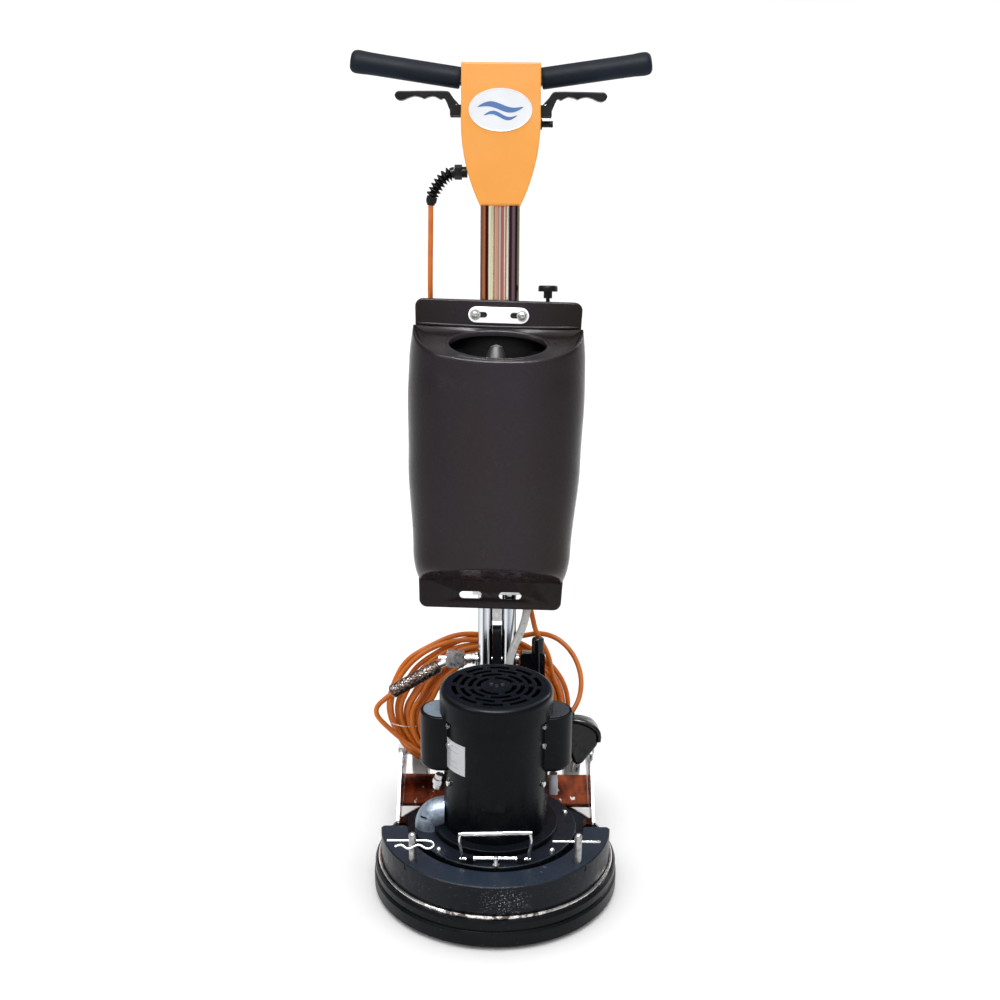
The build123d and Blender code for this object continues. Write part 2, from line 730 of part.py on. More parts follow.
# ---------------------------------------------------------------- tank
def tank_body(inset):
    back = TANK_BACK - inset
    front = TANK_FRONT + inset
    side = [(back, BELLY_W + inset), (-70, BELLY_W + inset), (-92, 122 + inset), (-104 + inset, 146),
            (front, 300), (front, RIM_W - 18 - inset), (front + 6, RIM_W - 4 - inset),
            (SLOPE_FRONT[0], SLOPE_FRONT[1] - inset), (SLOPE_BACK[0], SLOPE_BACK[1] - inset),
            (back, RIDGE_W - 2 - inset)]
    solid = plate_yz(side, -TANK_HALF, TANK_HALF)
    half = TANK_HALF - inset
    front_view = [(-half + 18, BELLY_W), (half - 18, BELLY_W), (half - 12, 160), (half, 400),
                  (half - 4, 440), (half - 14, 520), (-half + 14, 520), (-half + 4, 440),
                  (-half, 400), (-half + 12, 160)]
    solid = solid & plate_xz(front_view, -140, 0)
    centre = back + 8
    plan = Plane(origin=(0, centre, 0)) * Ellipse(half + 10, centre - front)
    plan = plan & Plane(origin=(0, 0, 0)) * Pos(0, centre - 150) * Rectangle(400, 300)
    plan = plan + Pos(0, centre - 20) * Rectangle(2 * half - 6, 40)
    return solid & extrude(plan, amount=600)


def tank():
    shell = tank_body(0) - tank_body(TANK_WALL)
    low, high = FLANGE_HALF
    outline = [(-low, TANK_LOW), (low, TANK_LOW), (high, TANK_HIGH), (-high, TANK_HIGH)]
    flange = plate_xz(outline, TANK_BACK - 8, TANK_BACK)
    flange = fillet(flange.edges().filter_by(Axis.Y), 12)
    body = shell + flange
    run, rise = SLOPE_BACK[0] - SLOPE_FRONT[0], SLOPE_BACK[1] - SLOPE_FRONT[1]
    slope = math.degrees(math.atan2(rise, run))
    place = Pos(0, SLOPE_FRONT[0] + run / 2, SLOPE_FRONT[1] + rise / 2) * Rot(slope, 0, 0)
    rim = place * extrude(Ellipse(77, 40), amount=10, both=True)
    rim = rim & tank_body(0)
    hole = place * extrude(Ellipse(71, 34), amount=24, both=True)
    body = body + rim - hole
    for side in (-1, 1):
        slot = Pos(side * 30, TANK_BACK, 90) * Rot(90, 0, 0) * extrude(SlotOverall(34, 12), amount=20, both=True)
        body = body - slot
        body = body - rod_y(4.2, -40, 0, side * TANK_BOLT_U, 516)
    return on_handle(body + valve_boss())


def tank_plate():
    bar = Pos(0, TANK_BACK - 8, 516) * Rot(90, 0, 0) * extrude(SlotOverall(90, 24), amount=2.5)
    for side in (-1, 1):
        slot = Pos(side * 26, TANK_BACK, 516) * Rot(90, 0, 0) * extrude(SlotOverall(22, 8), amount=30)
        bar = bar - slot
        bar = bar + rod_y(7.5, TANK_BACK - 14, TANK_BACK - 10, side * TANK_BOLT_U, 516)
        bar = bar + rod_y(4, TANK_BACK - 11, TANK_BACK, side * TANK_BOLT_U, 516)
    return on_handle(bar)


def valve_knob():
    """The knob with the pull rod that lifts the water valve."""
    knob = disc(6.5, 541, 552) + disc(14.5, 551, 560)
    knob = fillet(knob.edges().group_by(Axis.Z)[-1], 3)
    return on_handle(Pos(VALVE_X, VALVE_V, 0) * (knob + disc(3, 120, 545)))


def valve_boss():
    """The valve housing moulded behind the tank's outlet, with its hose spigot below."""
    body = disc(9, TANK_LOW + 2, 150, VALVE_X, VALVE_V)
    u, v = HOSE_UPPER[0][:2]
    body = body + block(u - 8, VALVE_X, v - 8, v + 8, TANK_LOW + 4, TANK_LOW + 18)
    body = body - disc(3 + RUNNING, 100, 151, VALVE_X, VALVE_V)
    return body


# ---------------------------------------------------------------- hose and cord
HOSE_UPPER = [(46, -8, 74.8), (44.2, -11.5, 58), (38.6, -18, 41), (31, -25, 25)]
HOSE_LOWER = [(30.88, -25.11, 24.74), (23.5, -31.9, 9.2), (18.5, -36, -9), (16.8, -36.3, -36),
              (17.5, -34, -68), (18, -33, -100), (19, -34.5, -130), (18.5, -36, -156), (18, -34.1, -180.7),
              (18, -29.85, -204.9)]
CORD_UPPER = [(-102.5, 0, 676), (-102.8, 1, 640), (-103.5, 5, 590), (-104, 14, 540), (-102, 24, 490),
              (-95, 30, 440), (-82, 34, 385), (-64, 36, 330), (-42, 37, 275), (-16, 37, 222),
              (14, 36, 176), (36, 32, 136), (45, 24, 100), (50, 17.5, 72), (55, 13, 50)]
CORD_LOWER = [(55.07, 12.94, 49.7), (59.1, 9.3, 31.9), (68, 11, 14), (77.5, 14, -3), (83, 21, -20), (85, 29.5, -37),
              (90, 37, -54), (97, 42, -72)]
CORD_TAIL = [(22, 45, 2), (42, 41, 15), (66, 36, 21), (91, 31, 16), (111, 25, 0), (124, 17, -22),
             (129, 7, -48), (126, -4, -76), (120, -13, -104)]
PLUG_OUTLINE = [(112, -104), (128, -100), (148, -106), (158, -120), (155, -138), (140, -160),
                (131, -172), (119, -172), (112, -150)]


def hose_upper():
    return cord_along(HOSE_UPPER, HOSE_D, "hose_upper")


def hose_lower():
    return cord_along(HOSE_LOWER, HOSE_D, "hose_lower")


def cord_upper():
    return cord_along(CORD_UPPER, CORD_D, "cord_upper")


def cord_lower():
    return cord_along(CORD_LOWER, CORD_D, "cord_lower")


def cord_tail():
    return cord_along(CORD_TAIL, CORD_D, "cord_tail")


def cord_coil():
    """The outer shape of the wound cord: an oval ring, thin at the top where it hangs on the saddle."""
    x, w, half_x, half_w = COIL_HOLE
    outer = Pos(COIL_X, COIL_W) * Ellipse(COIL_HALF_X, COIL_HALF_W)
    coil = extrude(outer - Pos(x, w) * Ellipse(half_x, half_w), amount=COIL_THICK)
    return on_handle(Pos(0, COIL_V + COIL_THICK / 2, 0) * Rot(90, 0, 0) * coil)


def cord_plug():
    """An angled plug with three round pins."""
    body = plate_xz(PLUG_OUTLINE, -31, 3)
    body = fillet(body.edges().filter_by(Axis.Y), 4)
    pins = Pos(125, -14, -172) * Rot(0, 14, 0)
    for x, y in ((-4, -8), (-4, 8), (4, 0)):
        body = body + pins * (Pos(x, y, -8) * Cylinder(2.4, 20))
    return on_handle(body)


def single_nodes():
    return (floor_pad, pad_holder, planet_carrier, bearings, ring_gear, deck_shell, bumper, trim_ring,
            gearbox_housing, gearbox_cover, counterweight, weight_posts, hairpins, carry_bail,
            vacuum_elbow, screws, motor_shell, motor_cap, stator, rotor, motor_shaft, cooling_fan,
            capacitor_boxes, capacitors, rear_chassis, wheel_axle, yoke, cord_hook, tilt_bolt,
            clamp_block, clamp_grip, handle_tubes, tube_clamps, control_head, head_back, hand_grips,
            lever_brackets, lock_button, switch_block, cable_gland, strain_relief, tank, tank_plate,
            valve_knob, hose_upper, hose_lower, cord_upper, cord_lower, cord_coil, cord_tail, cord_plug)


for make in single_nodes():
    write(make.__name__, make())
for i in range(PLANETS):
    write("planet_gear_" + str(i + 1), planet_gear(i))
for name, side in (("left", -1), ("right", 1)):
    write(name + "_wheel_hub", on_side(wheel_hub(), side))
    write(name + "_tyre", on_side(wheel_tyre(), side))
    write(name + "_lever", switch_lever(side))
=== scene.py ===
import math

import bmesh
import bpy
from mathutils import Matrix, Vector, noise


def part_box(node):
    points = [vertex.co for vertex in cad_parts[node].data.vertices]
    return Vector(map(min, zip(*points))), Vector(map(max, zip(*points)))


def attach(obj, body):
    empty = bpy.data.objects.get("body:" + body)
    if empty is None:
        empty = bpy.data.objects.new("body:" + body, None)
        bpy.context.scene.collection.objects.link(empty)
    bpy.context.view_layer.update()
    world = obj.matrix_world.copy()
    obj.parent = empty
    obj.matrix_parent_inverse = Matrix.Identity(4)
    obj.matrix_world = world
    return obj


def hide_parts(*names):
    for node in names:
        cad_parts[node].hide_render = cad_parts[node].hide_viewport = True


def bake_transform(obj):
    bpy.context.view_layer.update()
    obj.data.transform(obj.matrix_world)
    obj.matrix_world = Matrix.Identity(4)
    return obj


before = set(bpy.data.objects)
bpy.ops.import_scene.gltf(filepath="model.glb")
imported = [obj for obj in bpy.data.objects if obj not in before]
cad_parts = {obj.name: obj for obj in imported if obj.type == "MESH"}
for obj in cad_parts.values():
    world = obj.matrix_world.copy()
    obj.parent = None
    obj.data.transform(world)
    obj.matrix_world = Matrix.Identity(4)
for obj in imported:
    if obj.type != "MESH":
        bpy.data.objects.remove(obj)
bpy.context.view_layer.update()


def shift(x, y, z):
    return Matrix.Translation((x, y, z))


def turn(degrees, axis):
    return Matrix.Rotation(math.radians(degrees), 4, axis)


# The handle's own frame: u is X, v is backward and w runs up the tubes, which lean back 10 degrees.
HANDLE = shift(0, 0.165, 0.300) @ turn(-10, "X")


def at_handle(u, v, w):
    return HANDLE @ Vector((u, v, w))


# ---------------------------------------------------------------- camera
camera_data = bpy.data.cameras.new("camera")
camera_data.lens = 54
camera_data.sensor_width = 36
camera_data.clip_end = 10000
camera = bpy.data.objects.new("camera", camera_data)
camera.matrix_world = shift(0.003, -1.959, 1.257) @ turn(71.5, "X") @ turn(0.43, "Z")
bpy.context.scene.collection.objects.link(camera)
bpy.context.scene.camera = camera
bpy.context.scene.view_settings.view_transform = "Standard"


# ---------------------------------------------------------------- mesh helpers
def circle(count):
    """The cosine and sine of evenly spaced directions, all the way round."""
    angles = [2 * math.pi * k / count for k in range(count)]
    return [(math.cos(a), math.sin(a)) for a in angles]


def arc(x, y, radius, start, end, steps):
    """Points round part of a circle, from one angle in degrees to another."""
    angles = [math.radians(start + (end - start) * k / steps) for k in range(steps + 1)]
    return [(x + radius * math.cos(a), y + radius * math.sin(a)) for a in angles]


def stadium(length, width, middle=0.0):
    """The outline of a bar with round ends."""
    end, radius = (length - width) / 2, width / 2
    return arc(middle + end, 0, radius, -90, 90, 10) + arc(middle - end, 0, radius, 90, 270, 10)


def mesh_object(name, points, faces, sharp_deg=40):
    mesh = bpy.data.meshes.new(name)
    mesh.from_pydata([tuple(p) for p in points], [], faces)
    bm = bmesh.new()
    bm.from_mesh(mesh)
    bmesh.ops.recalc_face_normals(bm, faces=bm.faces)
    bm.to_mesh(mesh)
    bm.free()
    mesh.polygons.foreach_set("use_smooth", [True] * len(mesh.polygons))
    mesh.set_sharp_from_angle(angle=math.radians(sharp_deg))
    piece = bpy.data.objects.new(name, mesh)
    bpy.context.scene.collection.objects.link(piece)
    return piece


def rings_mesh(rings, closed=False, capped=True):
    """Points and faces of a skin over rings with the same number of points each."""
    count = len(rings[0])
    points = [p for r in rings for p in r]
    faces = []
    for k in range(len(rings) if closed else len(rings) - 1):
        a, b = k * count, ((k + 1) % len(rings)) * count
        for i in range(count):
            j = (i + 1) % count
            faces.append((a + i, a + j, b + j, b + i))
    if capped and not closed:
        for start, ring in ((0, rings[0]), ((len(rings) - 1) * count, rings[-1])):
            middle = sum((Vector(p) for p in ring), Vector()) / count
            points.append(middle)
            for i in range(count):
                faces.append((start + i, start + (i + 1) % count, len(points) - 1))
    return points, faces


def frames_along(line):
    """A pair of side directions at each point of a line, turned as little as possible."""
    side = None
    frames = []
    for i, p in enumerate(line):
        ahead = (line[min(i + 1, len(line) - 1)] - line[max(i - 1, 0)]).normalized()
        if side is None:
            side = ahead.orthogonal().normalized()
        side = (side - ahead * side.dot(ahead)).normalized()
        frames.append((side, ahead.cross(side)))
    return frames


def tube_rings(line, radius, sides=14):
    """Rings round a line; the radius is a number or a function of the share of the length."""
    rings = []
    lengths = [0.0]
    for a, b in zip(line, line[1:]):
        lengths.append(lengths[-1] + (b - a).length)
    for p, (x, y), at in zip(line, frames_along(line), lengths):
        r = radius(at / lengths[-1]) if callable(radius) else radius
        rings.append([p + x * (r * c) + y * (r * s) for c, s in circle(sides)])
    return rings


def tube(name, line, radius, sides=14, closed=False):
    return mesh_object(name, *rings_mesh(tube_rings(line, radius, sides), closed, not closed))


def spline_line(points, steps=10):
    """Points along the smooth NURBS line whose control points are given."""
    data = bpy.data.curves.new("route", "CURVE")
    data.dimensions = "3D"
    data.resolution_u = steps
    spline = data.splines.new("NURBS")
    spline.points.add(len(points) - 1)
    for knot, p in zip(spline.points, points):
        knot.co = (*p, 1)
    spline.order_u = 3
    spline.use_endpoint_u = True
    route = bpy.data.objects.new("route", data)
    mesh = bpy.data.meshes.new_from_object(route)
    line = [v.co.copy() for v in mesh.vertices]
    bpy.data.objects.remove(route)
    bpy.data.curves.remove(data)
    bpy.data.meshes.remove(mesh)
    return line


def turned(name, profile, place, sides=48, sharp_deg=40):
    """A closed profile of (radius, height) points turned about the local Z of a placing matrix."""
    rings = [[place @ Vector((r * c, r * s, z)) for c, s in circle(sides)] for r, z in profile]
    return mesh_object(name, *rings_mesh(rings), sharp_deg)


def prism(name, outline, depth, place, bevel=0.0, segments=3):
    """A flat outline of (x, y) points with a thickness, its edges rounded by a bevel."""
    count = len(outline)
    points = [place @ Vector((x, y, 0)) for x, y in outline]
    points += [place @ Vector((x, y, depth)) for x, y in outline]
    faces = [tuple(range(count)), tuple(range(count, 2 * count))]
    for i in range(count):
        j = (i + 1) % count
        faces.append((i, j, count + j, count + i))
    piece = mesh_object(name, points, faces, 35)
    if bevel:
        rounding = piece.modifiers.new("bevel", "BEVEL")
        rounding.width = bevel
        rounding.segments = segments
        rounding.limit_method = "ANGLE"
        rounding.angle_limit = math.radians(50)
        rounding.harden_normals = True
    return piece


def smooth_outline(points, steps=6):
    """A closed outline through the given corners, rounded as a Catmull-Rom curve."""
    result = []
    count = len(points)
    for i in range(count):
        p0, p1, p2, p3 = (Vector(points[(i + k - 1) % count]) for k in range(4))
        for s in range(steps):
            t = s / steps
            q = 0.5 * (2 * p1 + (p2 - p0) * t + (2 * p0 - 5 * p1 + 4 * p2 - p3) * t**2
                       + (3 * p1 - p0 - 3 * p2 + p3) * t**3)
            result.append((q.x, q.y))
    return result


def joined(name, pieces):
    """Several meshes as one object, with their modifiers applied."""
    bm = bmesh.new()
    dg = bpy.context.evaluated_depsgraph_get()
    for piece in pieces:
        mesh = bpy.data.meshes.new_from_object(piece.evaluated_get(dg))
        bm.from_mesh(mesh)
        bpy.data.meshes.remove(mesh)
        bpy.data.objects.remove(piece)
    mesh = bpy.data.meshes.new(name)
    bm.to_mesh(mesh)
    bm.free()
    result = bpy.data.objects.new(name, mesh)
    bpy.context.scene.collection.objects.link(result)
    return result


def cut_out(name, piece, outlines, depth, place):
    """A piece with a prism taken out of it for each outline."""
    cutters = [prism("cutter", outline, depth, place) for outline in outlines]
    for cutter in cutters:
        cut = piece.modifiers.new("slot", "BOOLEAN")
        cut.operation = "DIFFERENCE"
        cut.object = cutter
    bpy.context.view_layer.update()
    result = joined(name, [piece])
    for cutter in cutters:
        bpy.data.objects.remove(cutter)
    return result


def smoothstep(a, b, x):
    t = min(max((x - a) / (b - a), 0), 1)
    return t * t * (3 - 2 * t)


def between(table, x):
    """A value read from (x, value) pairs, smoothly between them."""
    for (x0, y0), (x1, y1) in zip(table, table[1:]):
        if x <= x1:
            return y0 + (y1 - y0) * smoothstep(x0, x1, x)
    return table[-1][1]


# ---------------------------------------------------------------- materials
def add_node(tree, kind, inputs, **settings):
    """A new shader node; each input is given a plain value or linked to another node's output."""
    node = tree.nodes.new("ShaderNode" + kind)
    for name, value in settings.items():
        setattr(node, name, value)
    for socket, value in inputs.items():
        if isinstance(value, bpy.types.NodeSocket):
            tree.links.new(value, node.inputs[socket])
        else:
            node.inputs[socket].default_value = value
    return node


def add_ramp(tree, fac, stops):
    """A colour ramp; each stop is a position with a colour or a grey."""
    node = add_node(tree, "ValToRGB", {"Fac": fac})
    ramp = node.color_ramp
    while len(ramp.elements) < len(stops):
        ramp.elements.new(0.5)
    for element, (position, value) in zip(ramp.elements, stops):
        element.position = position
        element.color = (*value, 1) if isinstance(value, tuple) else (value, value, value, 1)
    return node.outputs["Color"]


class Finish:
    """A procedural material being built: its nodes and main shader."""

    def __init__(self, name, color, rough, metal=0.0):
        self.material = bpy.data.materials.new(name)
        self.material.use_nodes = True
        self.tree = self.material.node_tree
        self.shader = self.tree.nodes["Principled BSDF"]
        self.color = (*color, 1)
        self.set("Base Color", self.color)
        self.set("Roughness", rough)
        self.set("Metallic", metal)
        self.place = self.node("TexCoord", {})["Object"]
        self.normal = None

    def set(self, socket, value):
        self.shader.inputs[socket].default_value = value

    def drive(self, socket, value):
        self.tree.links.new(value, self.shader.inputs[socket])

    def node(self, kind, inputs, **settings):
        return add_node(self.tree, kind, inputs, **settings).outputs

    def math(self, operation, *values):
        return self.node("Math", dict(enumerate(values)), operation=operation)[0]

    def part(self, vector, axis):
        return self.node("SeparateXYZ", {0: vector})[axis]

    def scaled(self, value, low, high, to_low=0.0, to_high=1.0):
        """A value's way from one number to another, carried over to a new range and kept in it."""
        limits = {"From Min": low, "From Max": high, "To Min": to_low, "To Max": to_high}
        return self.node("MapRange", {"Value": value, **limits})["Result"]

    def noise(self, scale, detail=4, rough=0.55, stretch=None):
        place = self.place
        if stretch is not None:
            place = self.node("Mapping", {"Scale": stretch, "Vector": place})["Vector"]
        look = {"Scale": scale, "Detail": detail, "Roughness": rough, "Vector": place}
        return self.node("TexNoise", look)["Fac"]

    def ramp(self, fac, stops):
        return add_ramp(self.tree, fac, stops)

    def clouds(self, noise, low, high):
        """Patches where a noise, given by its scale and detail, rises through a band."""
        return self.ramp(self.noise(*noise), [(low, 0.0), (high, 1.0)])

    def mix_in(self, fac, color):
        """Mixes a colour or a coloured pattern in where the factor is high."""
        mix = {"Factor": fac, "A": self.color, "B": color}
        self.color = self.node("Mix", mix, data_type="RGBA")["Result"]
        self.drive("Base Color", self.color)

    def tint(self, fac, color, amount=1.0):
        self.mix_in(self.math("MULTIPLY", fac, amount), (*color, 1))

    def rough(self, fac, low, high):
        self.drive("Roughness", self.scaled(fac, 0.3, 0.7, low, high))

    def bump(self, fac, depth, strength=1.0):
        relief = {"Distance": depth, "Strength": strength, "Height": fac}
        if self.normal is not None:
            relief["Normal"] = self.normal
        self.normal = self.node("Bump", relief)["Normal"]
        self.drive("Normal", self.normal)

    def near(self, point, inner, outer):
        """One close to a point of the object, falling to nothing farther away."""
        away = self.node("VectorMath", {0: self.place, 1: point}, operation="DISTANCE")["Value"]
        return self.scaled(away, outer, inner)

    def across(self, low, high, wobble):
        """The share of the way from one X to another, with a slight wave along the piece."""
        shifted = self.math("MULTIPLY_ADD", self.noise(7, 2, 0.5), wobble, self.part(self.place, "X"))
        return self.scaled(shifted, low + wobble / 2, high + wobble / 2)

    def above(self, low, high):
        """Nothing below one height and one above the other."""
        return self.scaled(self.part(self.place, "Z"), low, high)

    def dust_and_sheen_on_top(self):
        """One on faces that look up, where dust settles and a painted sheen from above lightens them, and
        nothing on upright ones.
        """
        normal = self.node("NewGeometry", {})["Normal"]
        return self.scaled(self.part(normal, "Z"), 0.6, 0.95)

    def specks(self, scale, size, color, amount):
        """Small scattered marks, such as dust or chipped paint."""
        spots = self.clouds((scale, 2, 0.5), size, size + 0.03)
        patches = self.clouds((scale / 14, 3), 0.45, 0.62)
        self.tint(self.math("MULTIPLY", spots, patches), color, amount)


def layered(name, color, rough, metal, patches, gloss, grain, sockets=None):
    """A material of tinted patches, an uneven gloss and layers of fine bumps, each from a noise."""
    f = Finish(name, color, rough, metal)
    for noise_spec, low, high, tint, amount in patches:
        f.tint(f.clouds(noise_spec, low, high), tint, amount)
    if gloss:
        f.rough(f.noise(*gloss[0]), *gloss[1:])
    for noise_spec, *depth in grain:
        f.bump(f.noise(*noise_spec), *depth)
    for socket, value in (sockets or {}).items():
        f.set(socket, value)
    return f


def shade(color, share):
    return tuple(c * share for c in color)


def satin_black(name, color, rough, grain, depth, haze, shine):
    """Black paint, plastic or rubber: a fine skin, faint haze and uneven gloss."""
    return layered(name, color, rough, 0.0, [((9, 5), 0.42, 0.7, haze, 0.55)],
                   ((24, 6), rough - 0.07, rough + 0.1), [((grain, 2), depth)], {"Specular IOR Level": shine})


def make_motor_paint():
    f = satin_black("motor_paint", (0.0022, 0.003, 0.0042), 0.27, 900, 0.0001, (0.004, 0.0052, 0.007), 0.085)
    f.specks(420, 0.68, (0.10, 0.10, 0.10), 0.3)
    # Dust and a painted sheen from above: faces that look up are tinted lighter and bluer.
    f.tint(f.dust_and_sheen_on_top(), (0.0085, 0.011, 0.017), 0.8)
    return f.material


def make_deck_paint():
    f = satin_black("deck_paint", (0.003, 0.004, 0.006), 0.3, 500, 0.00015, (0.009, 0.012, 0.018), 0.15)
    f.specks(260, 0.65, (0.16, 0.17, 0.19), 0.4)
    # Dust and a painted sheen from above: faces that look up are tinted lighter and bluer.
    f.tint(f.dust_and_sheen_on_top(), (0.014, 0.019, 0.032), 0.7)
    f.tint(f.clouds((45, 5, 0.7), 0.6, 0.72), (0.045, 0.052, 0.065), 0.5)
    return f.material


def make_weight_paint():
    """The counterweight's paint: chipped in front, scuffed, worn through near the bail, and dusty with a
    painted sheen on its top faces.
    """
    f = satin_black("weight_paint", (0.003, 0.004, 0.0065), 0.32, 260, 0.0003, (0.009, 0.012, 0.018), 0.13)
    front = f.near((0.014, -0.168, 0.068), 0.004, 0.038)
    f.tint(f.math("MULTIPLY", f.clouds((420, 3, 0.6), 0.6, 0.64), front), (0.5, 0.51, 0.53), 0.7)
    f.specks(300, 0.68, (0.25, 0.26, 0.28), 0.5)
    # Dust and a painted sheen from above: faces that look up are tinted lighter and bluer.
    f.tint(f.dust_and_sheen_on_top(), (0.026, 0.038, 0.060), 0.8)
    f.tint(f.clouds((60, 6, 0.7, (1, 1, 6)), 0.62, 0.7), (0.07, 0.078, 0.095), 0.6)
    top = f.near((0.055, -0.135, 0.095), 0.015, 0.05)
    f.tint(f.math("MULTIPLY", f.clouds((34, 4, 0.6), 0.64, 0.68), top), (0.16, 0.18, 0.22), 0.8)
    f.bump(f.noise(70, 4), 0.0006)
    return f.material


def make_rubber():
    f = satin_black("rubber", (0.0025, 0.0032, 0.0048), 0.3, 700, 0.00015, (0.006, 0.007, 0.0095), 0.11)
    f.specks(380, 0.67, (0.18, 0.18, 0.18), 0.3)
    return f.material


def make_grip_rubber():
    f = satin_black("grip_rubber", (0.0075, 0.0115, 0.019), 0.5, 1300, 0.0003, (0.014, 0.020, 0.031), 0.08)
    f.bump(f.noise(380, 3), 0.0003)
    return f.material


def make_plug_plastic():
    f = satin_black("plug_plastic", (0.003, 0.003, 0.004), 0.16, 500, 0.0001, (0.008, 0.008, 0.012), 0.3)
    f.bump(f.noise(38, 2), 0.004, 0.5)
    return f.material


def make_tank_plastic():
    """Moulded plastic, warmer in places, with painted shade darkening it towards its sides."""
    f = Finish("tank_plastic", (0.027, 0.022, 0.029), 0.3)
    f.tint(f.clouds((4.5, 3, 0.5, (1.2, 1, 0.35)), 0.38, 0.62), (0.030, 0.021, 0.020), 0.8)
    f.tint(f.clouds((160, 5), 0.5, 0.78), (0.036, 0.032, 0.038), 0.35)
    # Painted shade: the plastic is darkened towards both sides of the tank.
    painted_side_shade = [(0.0, 1.0), (0.22, 0.35), (0.45, 0.0), (0.62, 0.0), (0.95, 1.0)]
    f.tint(f.ramp(f.across(-0.13, 0.13, 0.004), painted_side_shade), (0.010, 0.006, 0.005), 0.8)
    f.rough(f.noise(34, 6), 0.2, 0.3)
    f.bump(f.noise(620, 3), 0.00025)
    f.bump(f.noise(16, 3), 0.0012, 0.35)
    f.set("Specular IOR Level", 0.13)
    return f.material


# Painted reflections: bands of colour across the two tubes, from the left edge (0) to the right (1).
UPPER_PAINTED_REFLECTION = [(0.00, (0.10, 0.045, 0.05)), (0.05, (0.16, 0.07, 0.06)), (0.08, (0.55, 0.20, 0.07)),
               (0.12, (0.42, 0.14, 0.05)), (0.145, (0.03, 0.006, 0.006)), (0.20, (0.04, 0.01, 0.01)),
               (0.225, (0.85, 0.80, 0.62)), (0.30, (0.88, 0.84, 0.56)), (0.36, (0.66, 0.60, 0.52)),
               (0.40, (0.68, 0.34, 0.18)), (0.44, (0.60, 0.36, 0.26)), (0.47, (0.30, 0.20, 0.23)),
               (0.50, (0.70, 0.62, 0.62)), (0.53, (0.40, 0.13, 0.08)), (0.60, (0.45, 0.19, 0.13)),
               (0.62, (0.95, 0.88, 0.84)), (0.70, (0.95, 0.90, 0.86)), (0.735, (0.03, 0.012, 0.015)),
               (0.79, (0.035, 0.018, 0.022)), (0.82, (0.17, 0.11, 0.13)), (0.87, (0.15, 0.10, 0.12)),
               (0.895, (0.012, 0.007, 0.007)), (0.925, (0.02, 0.014, 0.013)), (0.95, (0.15, 0.125, 0.08)),
               (1.0, (0.10, 0.085, 0.06))]
LOWER_PAINTED_REFLECTION = [(0.00, (0.06, 0.06, 0.07)), (0.04, (0.66, 0.70, 0.74)), (0.11, (0.80, 0.82, 0.84)),
               (0.14, (0.09, 0.09, 0.10)), (0.18, (0.42, 0.44, 0.48)), (0.25, (0.70, 0.72, 0.75)),
               (0.31, (0.36, 0.37, 0.40)), (0.34, (0.03, 0.03, 0.04)), (0.64, (0.05, 0.05, 0.06)),
               (0.67, (0.50, 0.54, 0.60)), (0.73, (0.72, 0.75, 0.78)), (0.79, (0.26, 0.29, 0.34)),
               (0.86, (0.50, 0.52, 0.56)), (0.93, (0.74, 0.76, 0.78)), (0.97, (0.20, 0.20, 0.22)),
               (1.0, (0.08, 0.08, 0.09))]


def make_chrome():
    """Polished tube with painted reflections: long bands of room colour, warm above the tank and cool below
    it.
    """
    f = Finish("chrome", (0.82, 0.82, 0.83), 0.1, 1.0)
    share = f.across(-0.0293, 0.0293, 0.0016)
    # Painted reflections: cool bands below the tank and warm bands above it.
    f.color = f.ramp(share, LOWER_PAINTED_REFLECTION)
    f.mix_in(f.above(0.60, 0.75), f.ramp(share, UPPER_PAINTED_REFLECTION))
    f.rough(f.noise(60, 5, 0.6, (1, 1, 0.1)), 0.1, 0.19)
    f.bump(f.noise(9, 2, 0.5, (1, 1, 0.25)), 0.0006, 0.2)
    return f.material


def make_plate_chrome():
    """The shiny rear plates, with a painted reflection of the cord's colour between painted bright edge
    highlights.
    """
    # The orange-brown base colour is a painted reflection of the cord.
    f = Finish("plate_chrome", (0.15, 0.036, 0.015), 0.22, 1.0)
    # Painted reflection: darker patches and pale streaks over the cord's colour.
    f.tint(f.clouds((21, 4, 0.6, (1.6, 1, 0.5)), 0.42, 0.6), (0.035, 0.012, 0.009), 0.9)
    f.tint(f.clouds((48, 3, 0.6, (1.2, 1, 0.3)), 0.64, 0.67), (0.55, 0.50, 0.48), 0.8)
    # Painted highlights along both side edges of the plates.
    edge = f.ramp(f.across(-0.151, 0.151, 0.0), [(0.0, 1.0), (0.012, 1.0), (0.02, 0.0), (0.98, 0.0),
                                                 (0.988, 1.0), (1.0, 1.0)])
    f.tint(edge, (0.70, 0.70, 0.72))
    f.rough(f.noise(50, 5), 0.16, 0.34)
    f.bump(f.noise(14, 2), 0.002, 0.4)
    return f.material


def make_trim():
    """Bright steel with a painted reflection in dull brown marks along its front."""
    f = Finish("trim_steel", (0.72, 0.70, 0.68), 0.16, 1.0)
    # Painted reflection: dull brown patches near the front of the ring.
    marks = f.math("MULTIPLY", f.clouds((95, 3, 0.6), 0.46, 0.54), f.near((0.0, -0.172, 0.05), 0.06, 0.12))
    f.tint(marks, (0.10, 0.07, 0.06), 0.95)
    f.rough(f.noise(60, 4), 0.1, 0.3)
    f.bump(f.noise(120, 2), 0.001, 0.6)
    return f.material


def make_cord_sheath():
    f = layered("cord_sheath", (0.64, 0.165, 0.012), 0.34, 0.0,
                [((40, 4), 0.4, 0.68, (0.46, 0.10, 0.007), 0.7)], ((70, 4), 0.3, 0.48),
                [((420, 2), 0.00012)], {"Specular IOR Level": 0.3})
    f.specks(500, 0.66, (0.22, 0.08, 0.03), 0.4)
    return f.material


def make_lid(name, color):
    return layered(name, color, 0.3, 0.0, [((55, 4), 0.4, 0.7, shade(color, 0.6), 0.6)],
                   ((40, 4), 0.22, 0.4), [((900, 2), 0.0001)]).material


